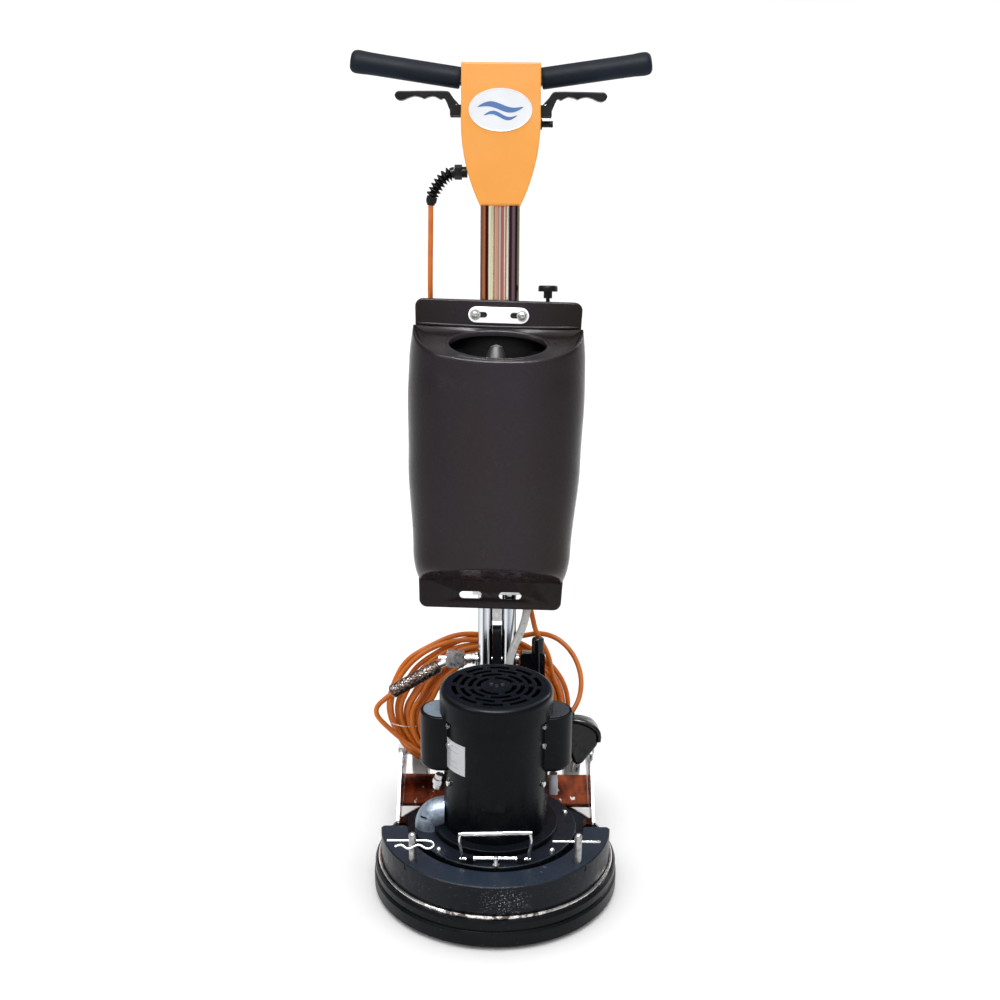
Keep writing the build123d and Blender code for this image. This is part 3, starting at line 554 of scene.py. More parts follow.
def make_grey(name, color, rough):
    return layered(name, color, rough, 0.0, [((45, 5), 0.45, 0.68, shade(color, 0.55), 0.7)],
                   ((60, 4), rough - 0.08, rough + 0.1), [((600, 3), 0.0002)]).material


def make_enamel(name, color):
    return layered(name, color, 0.3, 0.0, [((25, 4), 0.4, 0.7, shade(color, 0.86), 0.5)], None,
                   [((400, 2), 0.00005)], {"Coat Weight": 0.4, "Coat Roughness": 0.15}).material


MOTOR_PAINT = make_motor_paint()
DECK_PAINT = make_deck_paint()
WEIGHT_PAINT = make_weight_paint()
BLACK_PLASTIC = satin_black("black_plastic", (0.004, 0.0042, 0.0055), 0.32, 1400, 0.00008,
                            (0.008, 0.008, 0.01), 0.15).material
BOX_PLASTIC = satin_black("box_plastic", (0.0022, 0.003, 0.0042), 0.3, 1100, 0.0001,
                          (0.0045, 0.006, 0.008), 0.09).material
RUBBER = make_rubber()
GRIP_RUBBER = make_grip_rubber()
PLUG_PLASTIC = make_plug_plastic()
TANK_PLASTIC = make_tank_plastic()
# Painted shade: the inside of the tank's hole is the same plastic made near black.
TANK_INSIDE_PAINTED_SHADE = layered("tank_inside_painted_shade", (0.003, 0.003, 0.003), 0.5, 0.0,
                      [((20, 4), 0.4, 0.7, (0.006, 0.006, 0.007), 0.6)], None,
                      [((90, 3), 0.0005)], {"Specular IOR Level": 0.15}).material
TANK_POST = make_grey("tank_post_plastic", (0.022, 0.022, 0.028), 0.5)
ORANGE_PAINT = layered("orange_paint", (0.86, 0.345, 0.052), 0.38, 0.0,
                       [((6, 3), 0.35, 0.65, (0.92, 0.40, 0.075), 0.6)], ((18, 5), 0.32, 0.46),
                       [((750, 2), 0.00022), ((150, 2), 0.0002, 0.6)], {"Specular IOR Level": 0.3}).material
CHROME = make_chrome()
BAIL_CHROME = layered("bail_chrome", (0.72, 0.73, 0.75), 0.12, 1.0,
                      [((70, 3, 0.5, (0.3, 1, 1)), 0.46, 0.6, (0.30, 0.29, 0.30), 0.8)],
                      ((90, 4), 0.08, 0.2), [((200, 2), 0.0001)]).material
PLATE_CHROME = make_plate_chrome()
TRIM = make_trim()
STAINLESS = layered("stainless", (0.80, 0.82, 0.83), 0.4, 1.0,
                    [((30, 4), 0.4, 0.7, (0.68, 0.70, 0.72), 0.6)], ((300, 4, 0.6, (0.05, 1, 1)), 0.34, 0.5),
                    [((900, 2, 0.5, (0.04, 1, 1)), 0.00008)]).material
ZINC = layered("zinc", (0.66, 0.66, 0.67), 0.26, 1.0, [((70, 4), 0.42, 0.66, (0.42, 0.41, 0.39), 0.6)],
               ((160, 4), 0.18, 0.4), [((500, 3), 0.00012)]).material
POST_STEEL = layered("post_steel", (0.42, 0.42, 0.41), 0.34, 1.0,
                     [((150, 4), 0.4, 0.7, (0.17, 0.17, 0.165), 0.8)], ((200, 4), 0.24, 0.5),
                     [((600, 3), 0.0002)]).material
STEEL = layered("machined_steel", (0.5, 0.5, 0.51), 0.28, 1.0, [((90, 4), 0.4, 0.7, (0.36, 0.35, 0.34), 0.5)],
                None, [((800, 2, 0.5, (1, 1, 0.1)), 0.0001)]).material
GALVANISED = layered("galvanised", (0.24, 0.30, 0.38), 0.42, 0.65,
                     [((130, 5, 0.7), 0.46, 0.6, (0.36, 0.4, 0.47), 0.8),
                      ((70, 5, 0.7), 0.56, 0.68, (0.09, 0.1, 0.12), 0.8)],
                     ((90, 5), 0.3, 0.55), [((260, 4), 0.0006)]).material
KNURLED = layered("knurled_metal", (0.085, 0.06, 0.05), 0.3, 1.0,
                  [((330, 3), 0.52, 0.62, (0.42, 0.38, 0.36), 0.7),
                   ((40, 4), 0.5, 0.7, (0.05, 0.035, 0.03), 0.7)],
                  ((200, 3), 0.2, 0.42), [((700, 2), 0.0003)]).material
CORD_SHEATH = make_cord_sheath()
HOSE_PLASTIC = layered("hose_plastic", (0.62, 0.63, 0.61), 0.3, 0.0,
                       [((60, 4), 0.4, 0.7, (0.5, 0.5, 0.46), 0.6)], ((80, 4), 0.22, 0.4),
                       [((300, 2), 0.0001)],
                       {"Transmission Weight": 0.25, "IOR": 1.42}).material
PAD_FIBRE = layered("pad_fibre", (0.02, 0.019, 0.018), 0.9, 0.0,
                    [((500, 6, 0.8), 0.45, 0.65, (0.07, 0.066, 0.06), 0.8)], None,
                    [((700, 6, 0.8), 0.0015)]).material
# The two capacitor box lids are one plastic, painted as a lit copy and a shaded copy.
LID_PAINTED_LIT = make_lid("lid_painted_lit", (0.28, 0.34, 0.42))
LID_PAINTED_SHADED = make_lid("lid_painted_shaded", (0.045, 0.052, 0.066))
GREY_PLASTIC = make_grey("grey_plastic", (0.30, 0.31, 0.34), 0.35)
GREY_TYRE = make_grey("grey_tyre", (0.52, 0.53, 0.51), 0.35)
WHITE_ENAMEL = make_enamel("white_enamel", (0.82, 0.84, 0.87))
BLUE_ENAMEL = make_enamel("blue_enamel", (0.05, 0.16, 0.42))
LABEL_SILVER = make_enamel("label_silver", (0.5, 0.51, 0.53))
LABEL_INK = make_enamel("label_ink", (0.3, 0.31, 0.34))
FLOOR_WHITE = layered("studio_floor", (0.95, 0.95, 0.95), 0.6, 0.0,
                      [((1.5, 3), 0.3, 0.7, (0.94, 0.94, 0.945), 0.5)], None, []).material

CAD_FINISHES = {
    PAD_FIBRE: ["floor_pad"],
    BLACK_PLASTIC: ["pad_holder", "cooling_fan", "head_back", "switch_block", "cable_gland", "valve_knob",
                    "lever_brackets"],
    BOX_PLASTIC: ["capacitor_boxes"],
    STEEL: ["planet_carrier", "bearings", "ring_gear", "planet_gear_1", "planet_gear_2", "planet_gear_3",
            "motor_shaft", "stator", "rotor", "capacitors", "wheel_axle"],
    DECK_PAINT: ["deck_shell", "gearbox_housing", "gearbox_cover", "yoke"],
    MOTOR_PAINT: ["motor_shell", "motor_cap"],
    RUBBER: ["bumper"],
    TRIM: ["trim_ring"],
    WEIGHT_PAINT: ["counterweight"],
    POST_STEEL: ["weight_posts"],
    PLUG_PLASTIC: ["cord_hook"],
    ZINC: ["screws", "tilt_bolt", "tube_clamps", "clamp_block"],
    GALVANISED: ["vacuum_elbow"],
    PLATE_CHROME: ["rear_chassis"],
    GREY_PLASTIC: ["left_wheel_hub", "right_wheel_hub"],
    GREY_TYRE: ["left_tyre", "right_tyre"],
    CHROME: ["handle_tubes"],
    ORANGE_PAINT: ["control_head"],
}
for material, nodes in CAD_FINISHES.items():
    for node in nodes:
        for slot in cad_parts[node].material_slots:
            slot.material = material


def finish_piece(piece, material, body, slot, *replaced):
    """Gives a new piece its material and the body it rides on, and hides the nodes it stands for; the slot
    argument is not used.
    """
    piece.data.materials.clear()
    piece.data.materials.append(material)
    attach(piece, body)
    if replaced:
        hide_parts(*replaced)
    return piece


# ---------------------------------------------------------------- cord
CORD_D = 0.008
CORD_UPPER = [(-.1025, 0, .676), (-.1028, .001, .640), (-.1035, .005, .590), (-.104, .014, .540),
              (-.102, .024, .490), (-.095, .030, .440), (-.082, .034, .385), (-.064, .036, .330),
              (-.042, .037, .275), (-.016, .037, .222), (.014, .036, .176), (.036, .032, .136),
              (.045, .024, .100), (.050, .0175, .072), (.055, .013, .050)]
CORD_LOWER = [(.0591, .0093, .0319), (.068, .011, .014), (.0775, .014, -.003), (.083, .021, -.020),
              (.085, .0295, -.037), (.090, .037, -.054), (.097, .042, -.072)]
CORD_TAIL = [(.022, .045, .002), (.042, .041, .015), (.066, .036, .021), (.091, .031, .016),
             (.111, .025, .001), (.125, .017, -.019), (.1325, .007, -.046), (.129, -.002, -.073),
             (.119, -.009, -.091), (.108, -.013, -.103)]

COIL_MIDDLE = (-0.030, 0.047, -0.101)
COIL_HALF_WIDTH = 0.110
COIL_HALF_HEIGHT = 0.082
COIL_TURNS = 11
COIL_STEPS = 18
COIL_FIRST_DEG = 66
COIL_LAST_DEG = 368
LANES = [(3, 0), (2, 0), (1, 0), (0, 0), (0, 1), (0, 2), (1, 2), (1, 1), (2, 1), (2, 2), (3, 2), (3, 1)]
LANE_STEP = 0.0083
LANE_GAP = 0.0084
# Where the loose turn stands out farthest, where the bundle fans inward, and how far round each reaches.
LOOSE_TURN = 0
LOOSE_REACH = 0.050
LOOSE_AT_DEG, LOOSE_SPREAD_DEG = 268, 46
FAN_REACH = 0.031
FAN_AT_DEG, FAN_SPREAD_DEG = 288, 62


def coil_lane(degrees):
    """Which lane of the bundle the cord is in, moving to the next one along the bottom."""
    lap = (degrees - 100) / 360
    k = int(math.floor(lap))
    share = smoothstep(0, 0.35, lap - k)
    a = LANES[min(max(k, 0), len(LANES) - 1)]
    b = LANES[min(max(k + 1, 0), len(LANES) - 1)]
    return a[0] + (b[0] - a[0]) * share, a[1] + (b[1] - a[1]) * share


def swell(degrees, at, spread):
    """One at an angle round the coil, falling smoothly to nothing a spread away on either side."""
    return math.cos(math.pi / 2 * min(abs(degrees % 360 - at) / spread, 1)) ** 2


def coil_points():
    """Clockwise turns as seen from the front: close at the top where they hang, wider at the sides."""
    points = []
    last = 360 * COIL_TURNS + COIL_LAST_DEG - 360
    count = round((last - COIL_FIRST_DEG) / 360 * COIL_STEPS)
    for i in range(count + 1):
        degrees = COIL_FIRST_DEG + (last - COIL_FIRST_DEG) * i / count
        angle = math.radians(degrees)
        row, layer = coil_lane(degrees)
        lap = degrees / 360
        wander = noise.noise(Vector((2.3 * math.sin(angle), 2.3 * math.cos(angle), 5 + 3 * round(layer))))
        loosen = noise.noise(Vector((lap * 2.1, row, 4.7)))
        drift = 0.0042 * layer + 0.007 * wander + 0.0016 * loosen
        half_u = COIL_HALF_WIDTH + LANE_STEP * row + drift
        half_w = COIL_HALF_HEIGHT + LANE_STEP * row + drift
        if int(lap) == LOOSE_TURN:
            half_u += LOOSE_REACH * swell(degrees, LOOSE_AT_DEG, LOOSE_SPREAD_DEG)
        inward = 1 - (3 * row + layer) / 11
        half_u -= FAN_REACH * inward * swell(degrees, FAN_AT_DEG, FAN_SPREAD_DEG)
        depth = (layer - 1) * LANE_GAP
        sine, cosine = math.sin(angle), math.cos(angle)
        if sine < 0 < cosine:
            flatter = 1 + 0.62 * (1 - row / 3)
            sine, cosine = -abs(sine) ** flatter, cosine ** flatter
        middle_u, middle_v, middle_w = COIL_MIDDLE
        points.append((middle_u + half_u * sine, middle_v + depth, middle_w + half_w * cosine))
    return points


def make_plug():
    """The moulded plug, its angled boot and three round pins."""
    outline = [(.112, -.104), (.120, -.100), (.134, -.101), (.148, -.106), (.158, -.118), (.158, -.130),
               (.154, -.142), (.140, -.160), (.131, -.170), (.121, -.170), (.113, -.152), (.110, -.125)]
    place = HANDLE @ shift(0, 0.003, 0) @ turn(90, "X")
    body = prism("plug_body", smooth_outline(outline, 4), 0.034, place, 0.009, 5)
    parts = [body]
    boot_line = [at_handle(*p) for p in ((.1175, -.0095, -.0925), (.111, -.012, -.1005), (.109, -.014, -.110),
                                         (.114, -.015, -.120))]
    parts.append(tube("plug_boot", spline_line(boot_line, 8), lambda s: 0.0052 + 0.0045 * s, 18))
    arch = [at_handle(*p) for p in ((.104, -.024, -.108), (.116, -.028, -.1015), (.132, -.030, -.103),
                                    (.148, -.031, -.110), (.159, -.031, -.122), (.157, -.030, -.134))]
    parts.append(tube("plug_arch", spline_line(arch, 10), lambda s: 0.0048 - 0.001 * abs(2 * s - 1), 18))
    pins = HANDLE @ shift(.125, -.014, -.168) @ turn(14, "Y")
    for x, y in ((-.004, -.008), (-.004, .008), (.004, 0)):
        pin = [(.0023, 0), (.0023, -.018), (.0018, -.0195), (.0008, -.02)]
        parts.append(turned("plug_pin", pin, pins @ shift(x, y, 0), 16))
    return parts


def make_strain_relief():
    """A ribbed boot that narrows towards the cord, with a collar at each end."""
    route = [(-.0665, -.004, .724), (-.078, -.004, .7205), (-.088, -.003, .711), (-.096, -.002, .699),
             (-.1015, -.001, .687), (-.1025, 0, .676)]
    line = spline_line([at_handle(*p) for p in route], 34)

    def radius(share):
        if share < 0.10:
            return 0.0082
        if share > 0.80:
            return 0.0080 - 0.0024 * smoothstep(0.90, 1, share)
        wave = 0.5 - 0.5 * math.cos(2 * math.pi * 7 * (share - 0.10) / 0.70)
        return 0.0050 + (0.0060 - 0.0014 * share) * wave**0.8
    return tube("strain_relief_boot", line, radius, 26)


coil_turns = coil_points()
cord_points = [at_handle(*p) for p in CORD_UPPER + CORD_LOWER + coil_turns + CORD_TAIL[1:]]
cord_line = spline_line(cord_points, 8)
cord = tube("power_cord", cord_line, CORD_D / 2, 12)
cord.data.materials.append(CORD_SHEATH)
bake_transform(cord)
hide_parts("cord_upper", "cord_lower", "cord_coil", "cord_tail")

finish_piece(make_strain_relief(), BLACK_PLASTIC, "handle", "black_rubber", "strain_relief")
plug_parts = make_plug()
plug = finish_piece(joined("mains_plug", plug_parts[:3]), PLUG_PLASTIC, "base", "plug_black", "cord_plug")
pins = finish_piece(joined("plug_pins", plug_parts[3:]), ZINC, "base", "zinc")


def make_tie():
    """A thin wire tie round the left side of the coil."""
    ring = [at_handle(-.1475 + .0215 * c, .047 + .0145 * s, -.131 - .003 * c) for c, s in circle(20)]
    return tube("cord_tie", ring, 0.0006, 8, closed=True)


finish_piece(make_tie(), ZINC, "base", "zinc")

# ---------------------------------------------------------------- water hose
HOSE_D = 0.012
HOSE_UPPER = [(.046, -.008, .0748), (.0442, -.0115, .058), (.0386, -.018, .041), (.031, -.025, .025)]
HOSE_LOWER = [(.0235, -.0319, .0092), (.0185, -.036, -.009), (.0168, -.0363, -.036),
              (.0175, -.034, -.068), (.018, -.033, -.100), (.019, -.0345, -.130), (.0185, -.036, -.156),
              (.018, -.0341, -.1807), (.018, -.02985, -.2049)]
hose_line = spline_line([at_handle(*p) for p in HOSE_UPPER + HOSE_LOWER], 8)
hose = tube("water_hose", hose_line, HOSE_D / 2, 16)
hose.data.materials.append(HOSE_PLASTIC)
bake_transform(hose)
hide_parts("hose_upper", "hose_lower")


# ---------------------------------------------------------------- tank
# The tank hangs slightly askew, turned about a point near its upper bolts.
TANK_PLACE = HANDLE @ shift(-.001, 0, 0.516) @ turn(1.3, "Y") @ shift(0, 0, -0.516)
TANK_FACE = -0.024
BELLY_HALF = [(.100, .1085), (.160, .1185), (.300, .1285), (.400, .1315), (.450, .1305), (.510, .1255)]
BELLY_DEPTH = [(.110, .068), (.150, .084), (.300, .101), (.400, .102), (.440, .099)]
TANK_COLUMNS = 112
INSIDE_RINGS = 7
HOLE_PLACE = (0.0, -.0700, .4747)
HOLE_HALF = (.0710, .0370)


def belly_column(i):
    """How far out to the side and to the front a column of the tank's wall lies, from -1 to 1 and 0 to 1."""
    t = 2 * math.pi * i / TANK_COLUMNS
    side, front = math.cos(t), math.sin(t)
    if front <= 0:
        return math.copysign(abs(side) ** 0.62, side), 0.0
    return math.copysign(abs(side) ** 0.80, side), front ** 0.86


def belly_point(i, height, inset=0.0):
    """A point of the wall; height runs from 0 at the slanting bottom to 1 at the slanting rim."""
    side, front = belly_column(i)
    low = .112 + .035 * front
    high = .4965 - .0490 * front
    w = low + (high - low) * height
    half = between(BELLY_HALF, w) - inset
    depth = between(BELLY_DEPTH, w) - inset
    back = TANK_FACE + (-inset if front == 0 else 0)
    return Vector((side * half, back - front * depth, w))


def slope_height(v):
    """The height of the slanting top at a depth."""
    return .4975 - .0490 * min(max((TANK_FACE - v) / .100, 0), 1.05)


def hole_point(i, grow=0.0, drop=0.0):
    side, front = belly_column(i)
    a = math.atan2(front * .1 - .049 if front > 0 else -.049, side * .12)
    u = HOLE_PLACE[0] + (HOLE_HALF[0] + grow) * math.cos(a)
    v = HOLE_PLACE[1] - (HOLE_HALF[1] + grow) * math.sin(a)
    return Vector((u, v, slope_height(v) - drop))


def tank_rings():
    rings = []
    count = range(TANK_COLUMNS)
    under = [belly_point(i, 0) for i in count]
    middle = sum(under, Vector()) / TANK_COLUMNS
    for share, lift in ((0.02, .002), (0.5, .002), (0.86, .002), (0.95, .0012), (0.985, .0024)):
        rings.append([middle.lerp(p, share) + Vector((0, 0, lift)) for p in under])
    for k in range(1, 34):
        rings.append([belly_point(i, k / 33) for i in count])
    outer = rings[-1]
    for inward, up in ((.0006, .0022), (.0020, .0040), (.0040, .0046), (.0060, .0036), (.0074, .0010),
                       (.0084, -.0018), (.0100, -.0036)):
        ring = []
        for i, p in enumerate(outer):
            front = belly_column(i)[1]
            toward = Vector((HOLE_PLACE[0] - p.x, HOLE_PLACE[1] - p.y, 0)).normalized()
            raised = smoothstep(0, 0.25, front)
            q = p + toward * inward * (0.35 + 0.65 * raised)
            q.z = slope_height(q.y) + up * raised + 0.0012 * (1 - raised)
            ring.append(q)
        rings.append(ring)
    panel = rings[-1]
    for share in (0.2, 0.4, 0.6, 0.8, 0.93):
        ring = []
        for i, p in enumerate(panel):
            q = p.lerp(hole_point(i, .0045), share)
            q.z = slope_height(q.y) - .0036 * (1 - share) - .0030 * math.sin(math.pi * share)
            ring.append(q)
        rings.append(ring)
    for grow, drop in ((.0045, .0004), (.0032, -.0008), (.0018, -.0012), (.0006, -.0004), (0, .0014),
                       (-.0004, .007), (.004, .011)):
        rings.append([hole_point(i, grow, drop) for i in count])
    for height in (0.94, 0.8, 0.5, 0.2, 0.04):
        rings.append([belly_point(i, height, .0045) for i in count])
    return rings


def flange_half(w):
    return .1080 + .0160 * (w - .072) / .466


def make_flange():
    """The flat back of the tank: a plate with round corners, two slots below and a soft edge."""
    corner = .012
    low, high = .072, .538
    right = arc(flange_half(low) - corner, low + corner, corner, -90, 0, 6)
    right += [(flange_half(w), w) for w in (.12, .18, .24, .30, .36, .42, .48)]
    right += arc(flange_half(high) - corner, high - corner, corner, 0, 90, 6)
    outline = right + [(-x, w) for x, w in reversed(right)]
    place = TANK_PLACE @ shift(0, -.016, 0) @ turn(90, "X")
    plate = prism("tank_flange", outline, .009, place, 0.0032, 4)
    slots = []
    for middle in (-.030, .030):
        slot = [(middle + math.copysign(.011, c) + .0062 * c, .0925 + .0062 * s) for c, s in circle(24)]
        slots.append(slot)
    behind = TANK_PLACE @ turn(90, "X") @ shift(0, 0, -.01)
    return cut_out("tank_back_plate", plate, slots, .05, behind)


def make_ridge():
    """The soft crease where the sloping top meets the tank's flat back."""
    half, height, thick = .1205, .4985, .0032
    line = []
    for k in range(31):
        across = 2 * k / 30 - 1
        line.append(TANK_PLACE @ Vector((across * half, TANK_FACE - .0010, height + .0025 * across**2)))
    ridge = tube("ridge", line, lambda s: thick * (0.2 + 0.8 * smoothstep(0, .06, min(s, 1 - s))), 14)
    return joined("tank_crease", [ridge])


def make_tank():
    rings = [[TANK_PLACE @ p for p in ring] for ring in tank_rings()]
    belly = mesh_object("tank_belly", *rings_mesh(rings), 60)
    finish_piece(belly, TANK_PLASTIC, "handle", "tank_plastic", "tank")
    belly.data.materials.append(TANK_INSIDE_PAINTED_SHADE)
    # The inner rings get the painted shade of the tank's inside.
    inside_from = (len(rings) - INSIDE_RINGS) * TANK_COLUMNS
    for face in belly.data.polygons:
        face.material_index = 1 if face.index >= inside_from else 0
    rounding = belly.modifiers.new("smooth", "SUBSURF")
    rounding.levels = 1
    rounding.render_levels = 1
    finish_piece(make_flange(), TANK_PLASTIC, "handle", "tank_plastic")
    finish_piece(make_ridge(), TANK_PLASTIC, "handle", "tank_plastic")
    post = [(0.034, .320), (0.030, .360), (0.025, .410), (0.018, .444), (0.013, .462), (0.009, .471),
            (.001, .4745)]
    cone = turned("tank_post", post, TANK_PLACE @ shift(-.002, -.054, 0), 40)
    finish_piece(cone, TANK_POST, "handle", "tank_plastic")
    boss = [(.0005, .074), (.009, .075), (.010, .080), (.010, .146), (.0085, .150), (.0035, .1505)]
    housing = turned("valve_housing", boss, HANDLE @ shift(.072, -.005, 0), 32)
    spigot = [(.0005, .073), (.0078, .0735), (.0085, .078), (.0085, .092), (.007, .097), (.0005, .0975)]
    outlet = turned("hose_spigot", spigot, HANDLE @ shift(.046, -.008, 0), 32)
    finish_piece(joined("valve_body", [housing, outlet]), BLACK_PLASTIC, "handle", "tank_plastic")


make_tank()


def make_tank_plate():
    """The stainless bar across the tank's top, with two slots, and a washer and bolt at each end."""
    face = TANK_PLACE @ shift(0, -.0253, .516) @ turn(90, "X")
    bar = prism("tank_bar", stadium(.090, .0235), .0024, face, .0006, 2)
    slots = [stadium(.021, .0085, middle) for middle in (-.0275, .0275)]
    plate = cut_out("tank_bar", bar, slots, .03, face @ shift(0, 0, -.01))
    plate.data.polygons.foreach_set("use_smooth", [False] * len(plate.data.polygons))
    finish_piece(plate, STAINLESS, "handle", "stainless", "tank_plate")
    bolts = []
    for side in (-1, 1):
        middle = face @ shift(side * .0345, 0, .0024)
        washer = [(.0003, 0), (.0078, 0), (.0080, .0004), (.0078, .0012), (.0003, .0012)]
        bolts.append(turned("bolt_washer", washer, middle, 32))
        dome = [(.0003, .0010), (.0056, .0010), (.0056, .0030), (.0046, .0046), (.0024, .0052),
                (.0018, .0040), (.0003, .0040)]
        place = middle @ Matrix.Rotation(.3, 4, "Z")
        bolts.append(turned("bolt_head", dome, place, 6 if side < 0 else 24, 25))
    finish_piece(joined("tank_bolts", bolts), POST_STEEL, "handle", "zinc")


def make_tube_web():
    """The bright strip that closes the gap between the two tubes above the tank."""
    outline = [(-.0085, .528), (.0085, .528), (.0085, .684), (-.0085, .684)]
    place = HANDLE @ shift(0, .003, 0) @ turn(90, "X")
    finish_piece(prism("tube_web", outline, .003, place, .0008, 2), CHROME, "handle", "chrome")


make_tank_plate()
make_tube_web()

# ---------------------------------------------------------------- control head
def make_badge():
    """A plain oval badge with a raised rim and an abstract wave."""
    face = HANDLE @ shift(-.0005, -.038, .8100) @ turn(90, "X")
    oval = [(.0456 * c, .0302 * s) for c, s in circle(72)]
    plate = prism("badge_plate", oval, .0012, face, 0.0005, 2)
    rim = [face @ Vector((.0452 * c, .0298 * s, .0012)) for c, s in circle(96)]
    finish_piece(joined("badge_oval", [plate, tube("badge_rim", rim, .0007, 8, closed=True)]),
                 WHITE_ENAMEL, "handle", "stainless")
    waves = []
    for height, width, thick in ((.004, .033, .0042), (-.008, .024, .0028)):
        top, low = [], []
        for k in range(41):
            s = k / 40
            x = -width + 2 * width * s
            y = height + .0042 * math.sin(2 * math.pi * s)
            t = thick * math.sin(math.pi * s) ** 0.7 + 0.0002
            top.append((x, y + t))
            low.append((x, y - t))
        place = face @ shift(0, 0, .0011)
        waves.append(prism("badge_wave", top + low[::-1], .0006, place))
    finish_piece(joined("badge_waves", waves), BLUE_ENAMEL, "handle", "stainless")


def make_grips():
    """Two rubber grips with a thicker rounded end."""
    grips = []
    for side in (-1, 1):
        place = HANDLE @ shift(side * .020, 0, .853) @ turn(side * (90 - 8.4), "Y")
        profile = [(.0112, .0395), (.0150, .0395), (.0158, .0415), (.0158, .046), (.0158, .150),
                   (.0160, .174), (.0166, .184), (.0168, .190), (.0165, .194), (.0154, .1975), (.0130, .2000),
                   (.0105, .2012), (.0085, .2010), (.0065, .1998), (.0010, .1995)]
        grips.append(turned("grip", profile, place, 64, 50))
    return joined("rubber_grips", grips)


LEVER_OUTLINE = [(-5, 2), (-3, -6), (3, -9), (10, -3), (14, 6), (18, 13), (23, 11.5), (28, 14), (34, 16),
                 (42, 14.5), (47, 12.5), (52, 14.5), (61, 16), (70, 13.5), (77, 10.5), (84, 10), (89, 13.5),
                 (90, 18), (86, 22.5), (77, 23), (46, 23.5), (18, 23.5), (11, 22), (5, 14)]


def make_lever(side):
    """A switch lever with finger waves on its lower edge."""
    outline = smooth_outline([(x / 1000, w / 1000) for x, w in LEVER_OUTLINE], 4)
    place = Matrix.Scale(side, 4, (1, 0, 0)) @ HANDLE @ shift(.0645, 0, .8155) @ turn(90, "X")
    name = "left" if side < 0 else "right"
    lever = prism(name + "_switch_lever", outline, .016, place, .0028, 4)
    pin = [(.0005, -.0002), (.0042, 0), (.0042, .0012), (.003, .0018), (.0005, .0019)]
    screw = turned("lever_pin", pin, place @ shift(0, 0, .0165), 24)
    finish_piece(lever, BLACK_PLASTIC, name + "_switch", "black_plastic", name + "_lever")
    finish_piece(joined(name + "_lever_pin", [screw]), ZINC, name + "_switch", "zinc")


def make_button_bush():
    ring = [(.0052, .0575), (.0078, .0575), (.0082, .0585), (.0078, .0605), (.0052, .0605)]
    place = HANDLE @ shift(0, 0, .794) @ turn(90, "Y")
    return turned("button_bush", ring, place, 32)


def make_button():
    """The ribbed lock button that stands out of the head's right side."""
    profile = [(.0003, .046), (.0047, .046), (.0047, .0600)]
    for k in range(5):
        z = .0612 + .0026 * k
        profile += [(.0049, z), (.0044, z + .0013)]
    profile += [(.0048, .0742), (.0048, .0755), (.0042, .0765), (.0003, .0766)]
    place = HANDLE @ shift(0, 0, .794) @ turn(90, "Y")
    return turned("lock_button_stub", profile, place, 32, 50)


finish_piece(make_button(), BLACK_PLASTIC, "lock_button", "black_plastic", "lock_button")
make_badge()
finish_piece(make_grips(), GRIP_RUBBER, "handle", "black_rubber", "hand_grips")
make_lever(-1)
make_lever(1)
finish_piece(make_button_bush(), BLACK_PLASTIC, "handle", "black_plastic")


# ---------------------------------------------------------------- clamp lever
def make_clamp_grip():
    """The clamp's grip with a crossed knurl cut into it."""
    place = HANDLE @ shift(-.078, -.006, -.016) @ turn(-120, "Y")
    rings = []
    sides, steps = 72, 110
    start, length = 0.012, 0.086
    starts, twist = 9, 620
    for k in range(steps + 1):
        s = k / steps
        z = start + length * s
        end = min(s, 1 - s) * length
        body = 0.0104 - 0.0022 * (1 - smoothstep(0, .0025, end))
        ring = []
        for i in range(sides):
            a = 2 * math.pi * i / sides
            lines = max(math.cos(starts * a + z * twist), math.cos(starts * a - z * twist))
            r = body - 0.0007 * smoothstep(.75, 1, lines) * smoothstep(.004, .008, end)
            ring.append(place @ Vector((r * math.cos(a), r * math.sin(a), z)))
        rings.append(ring)
    return mesh_object("knurled_grip", *rings_mesh(rings), 60)


finish_piece(make_clamp_grip(), KNURLED, "clamp_lever", "grip_metal", "clamp_grip")


# ---------------------------------------------------------------- base details
def make_bail():
    """The lifting bail: a thick upper bar, a bent leg and a sleeve at each end, and a double wire below."""
    low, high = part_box("carry_bail")
    y = (low.y + high.y) / 2
    z0, z1 = low.z + .003, high.z - .0036
    half = (high.x - low.x) / 2
    lift = .0016
    bar = [Vector((-half + 2 * half * k / 12, y, z1 + lift * (k / 6 - 1))) for k in range(13)]
    pieces = [tube("bail_bar", bar, lambda s: .0037 - .0012 * (1 - smoothstep(0, .03, min(s, 1 - s))), 20)]
    for side in (-1, 1):
        bends = ((.004, z1), (.001, z1 - .008), (.002, z1 - .020), (.005, z0 + .008), (.004, z0 + .001),
                 (.012, z0 - .0003), (.024, z0))
        leg = [Vector((side * (half - inward), y, z)) for inward, z in bends]
        pieces.append(tube("bail_leg", spline_line(leg, 8), .0025, 16))
        sleeve = [Vector((side * (half - inward), y, z0 + .001)) for inward in (.010, .002)]
        pieces.append(tube("bail_sleeve", sleeve, .0030, 18))
    for dy in (-.0018, .0018):
        wire = [Vector((-half + .012 + (2 * half - .024) * k / 10, y + dy, z0 + .0022)) for k in range(11)]
        pieces.append(tube("bail_wire", wire, .0014, 16))
    return joined("lifting_bail", pieces)


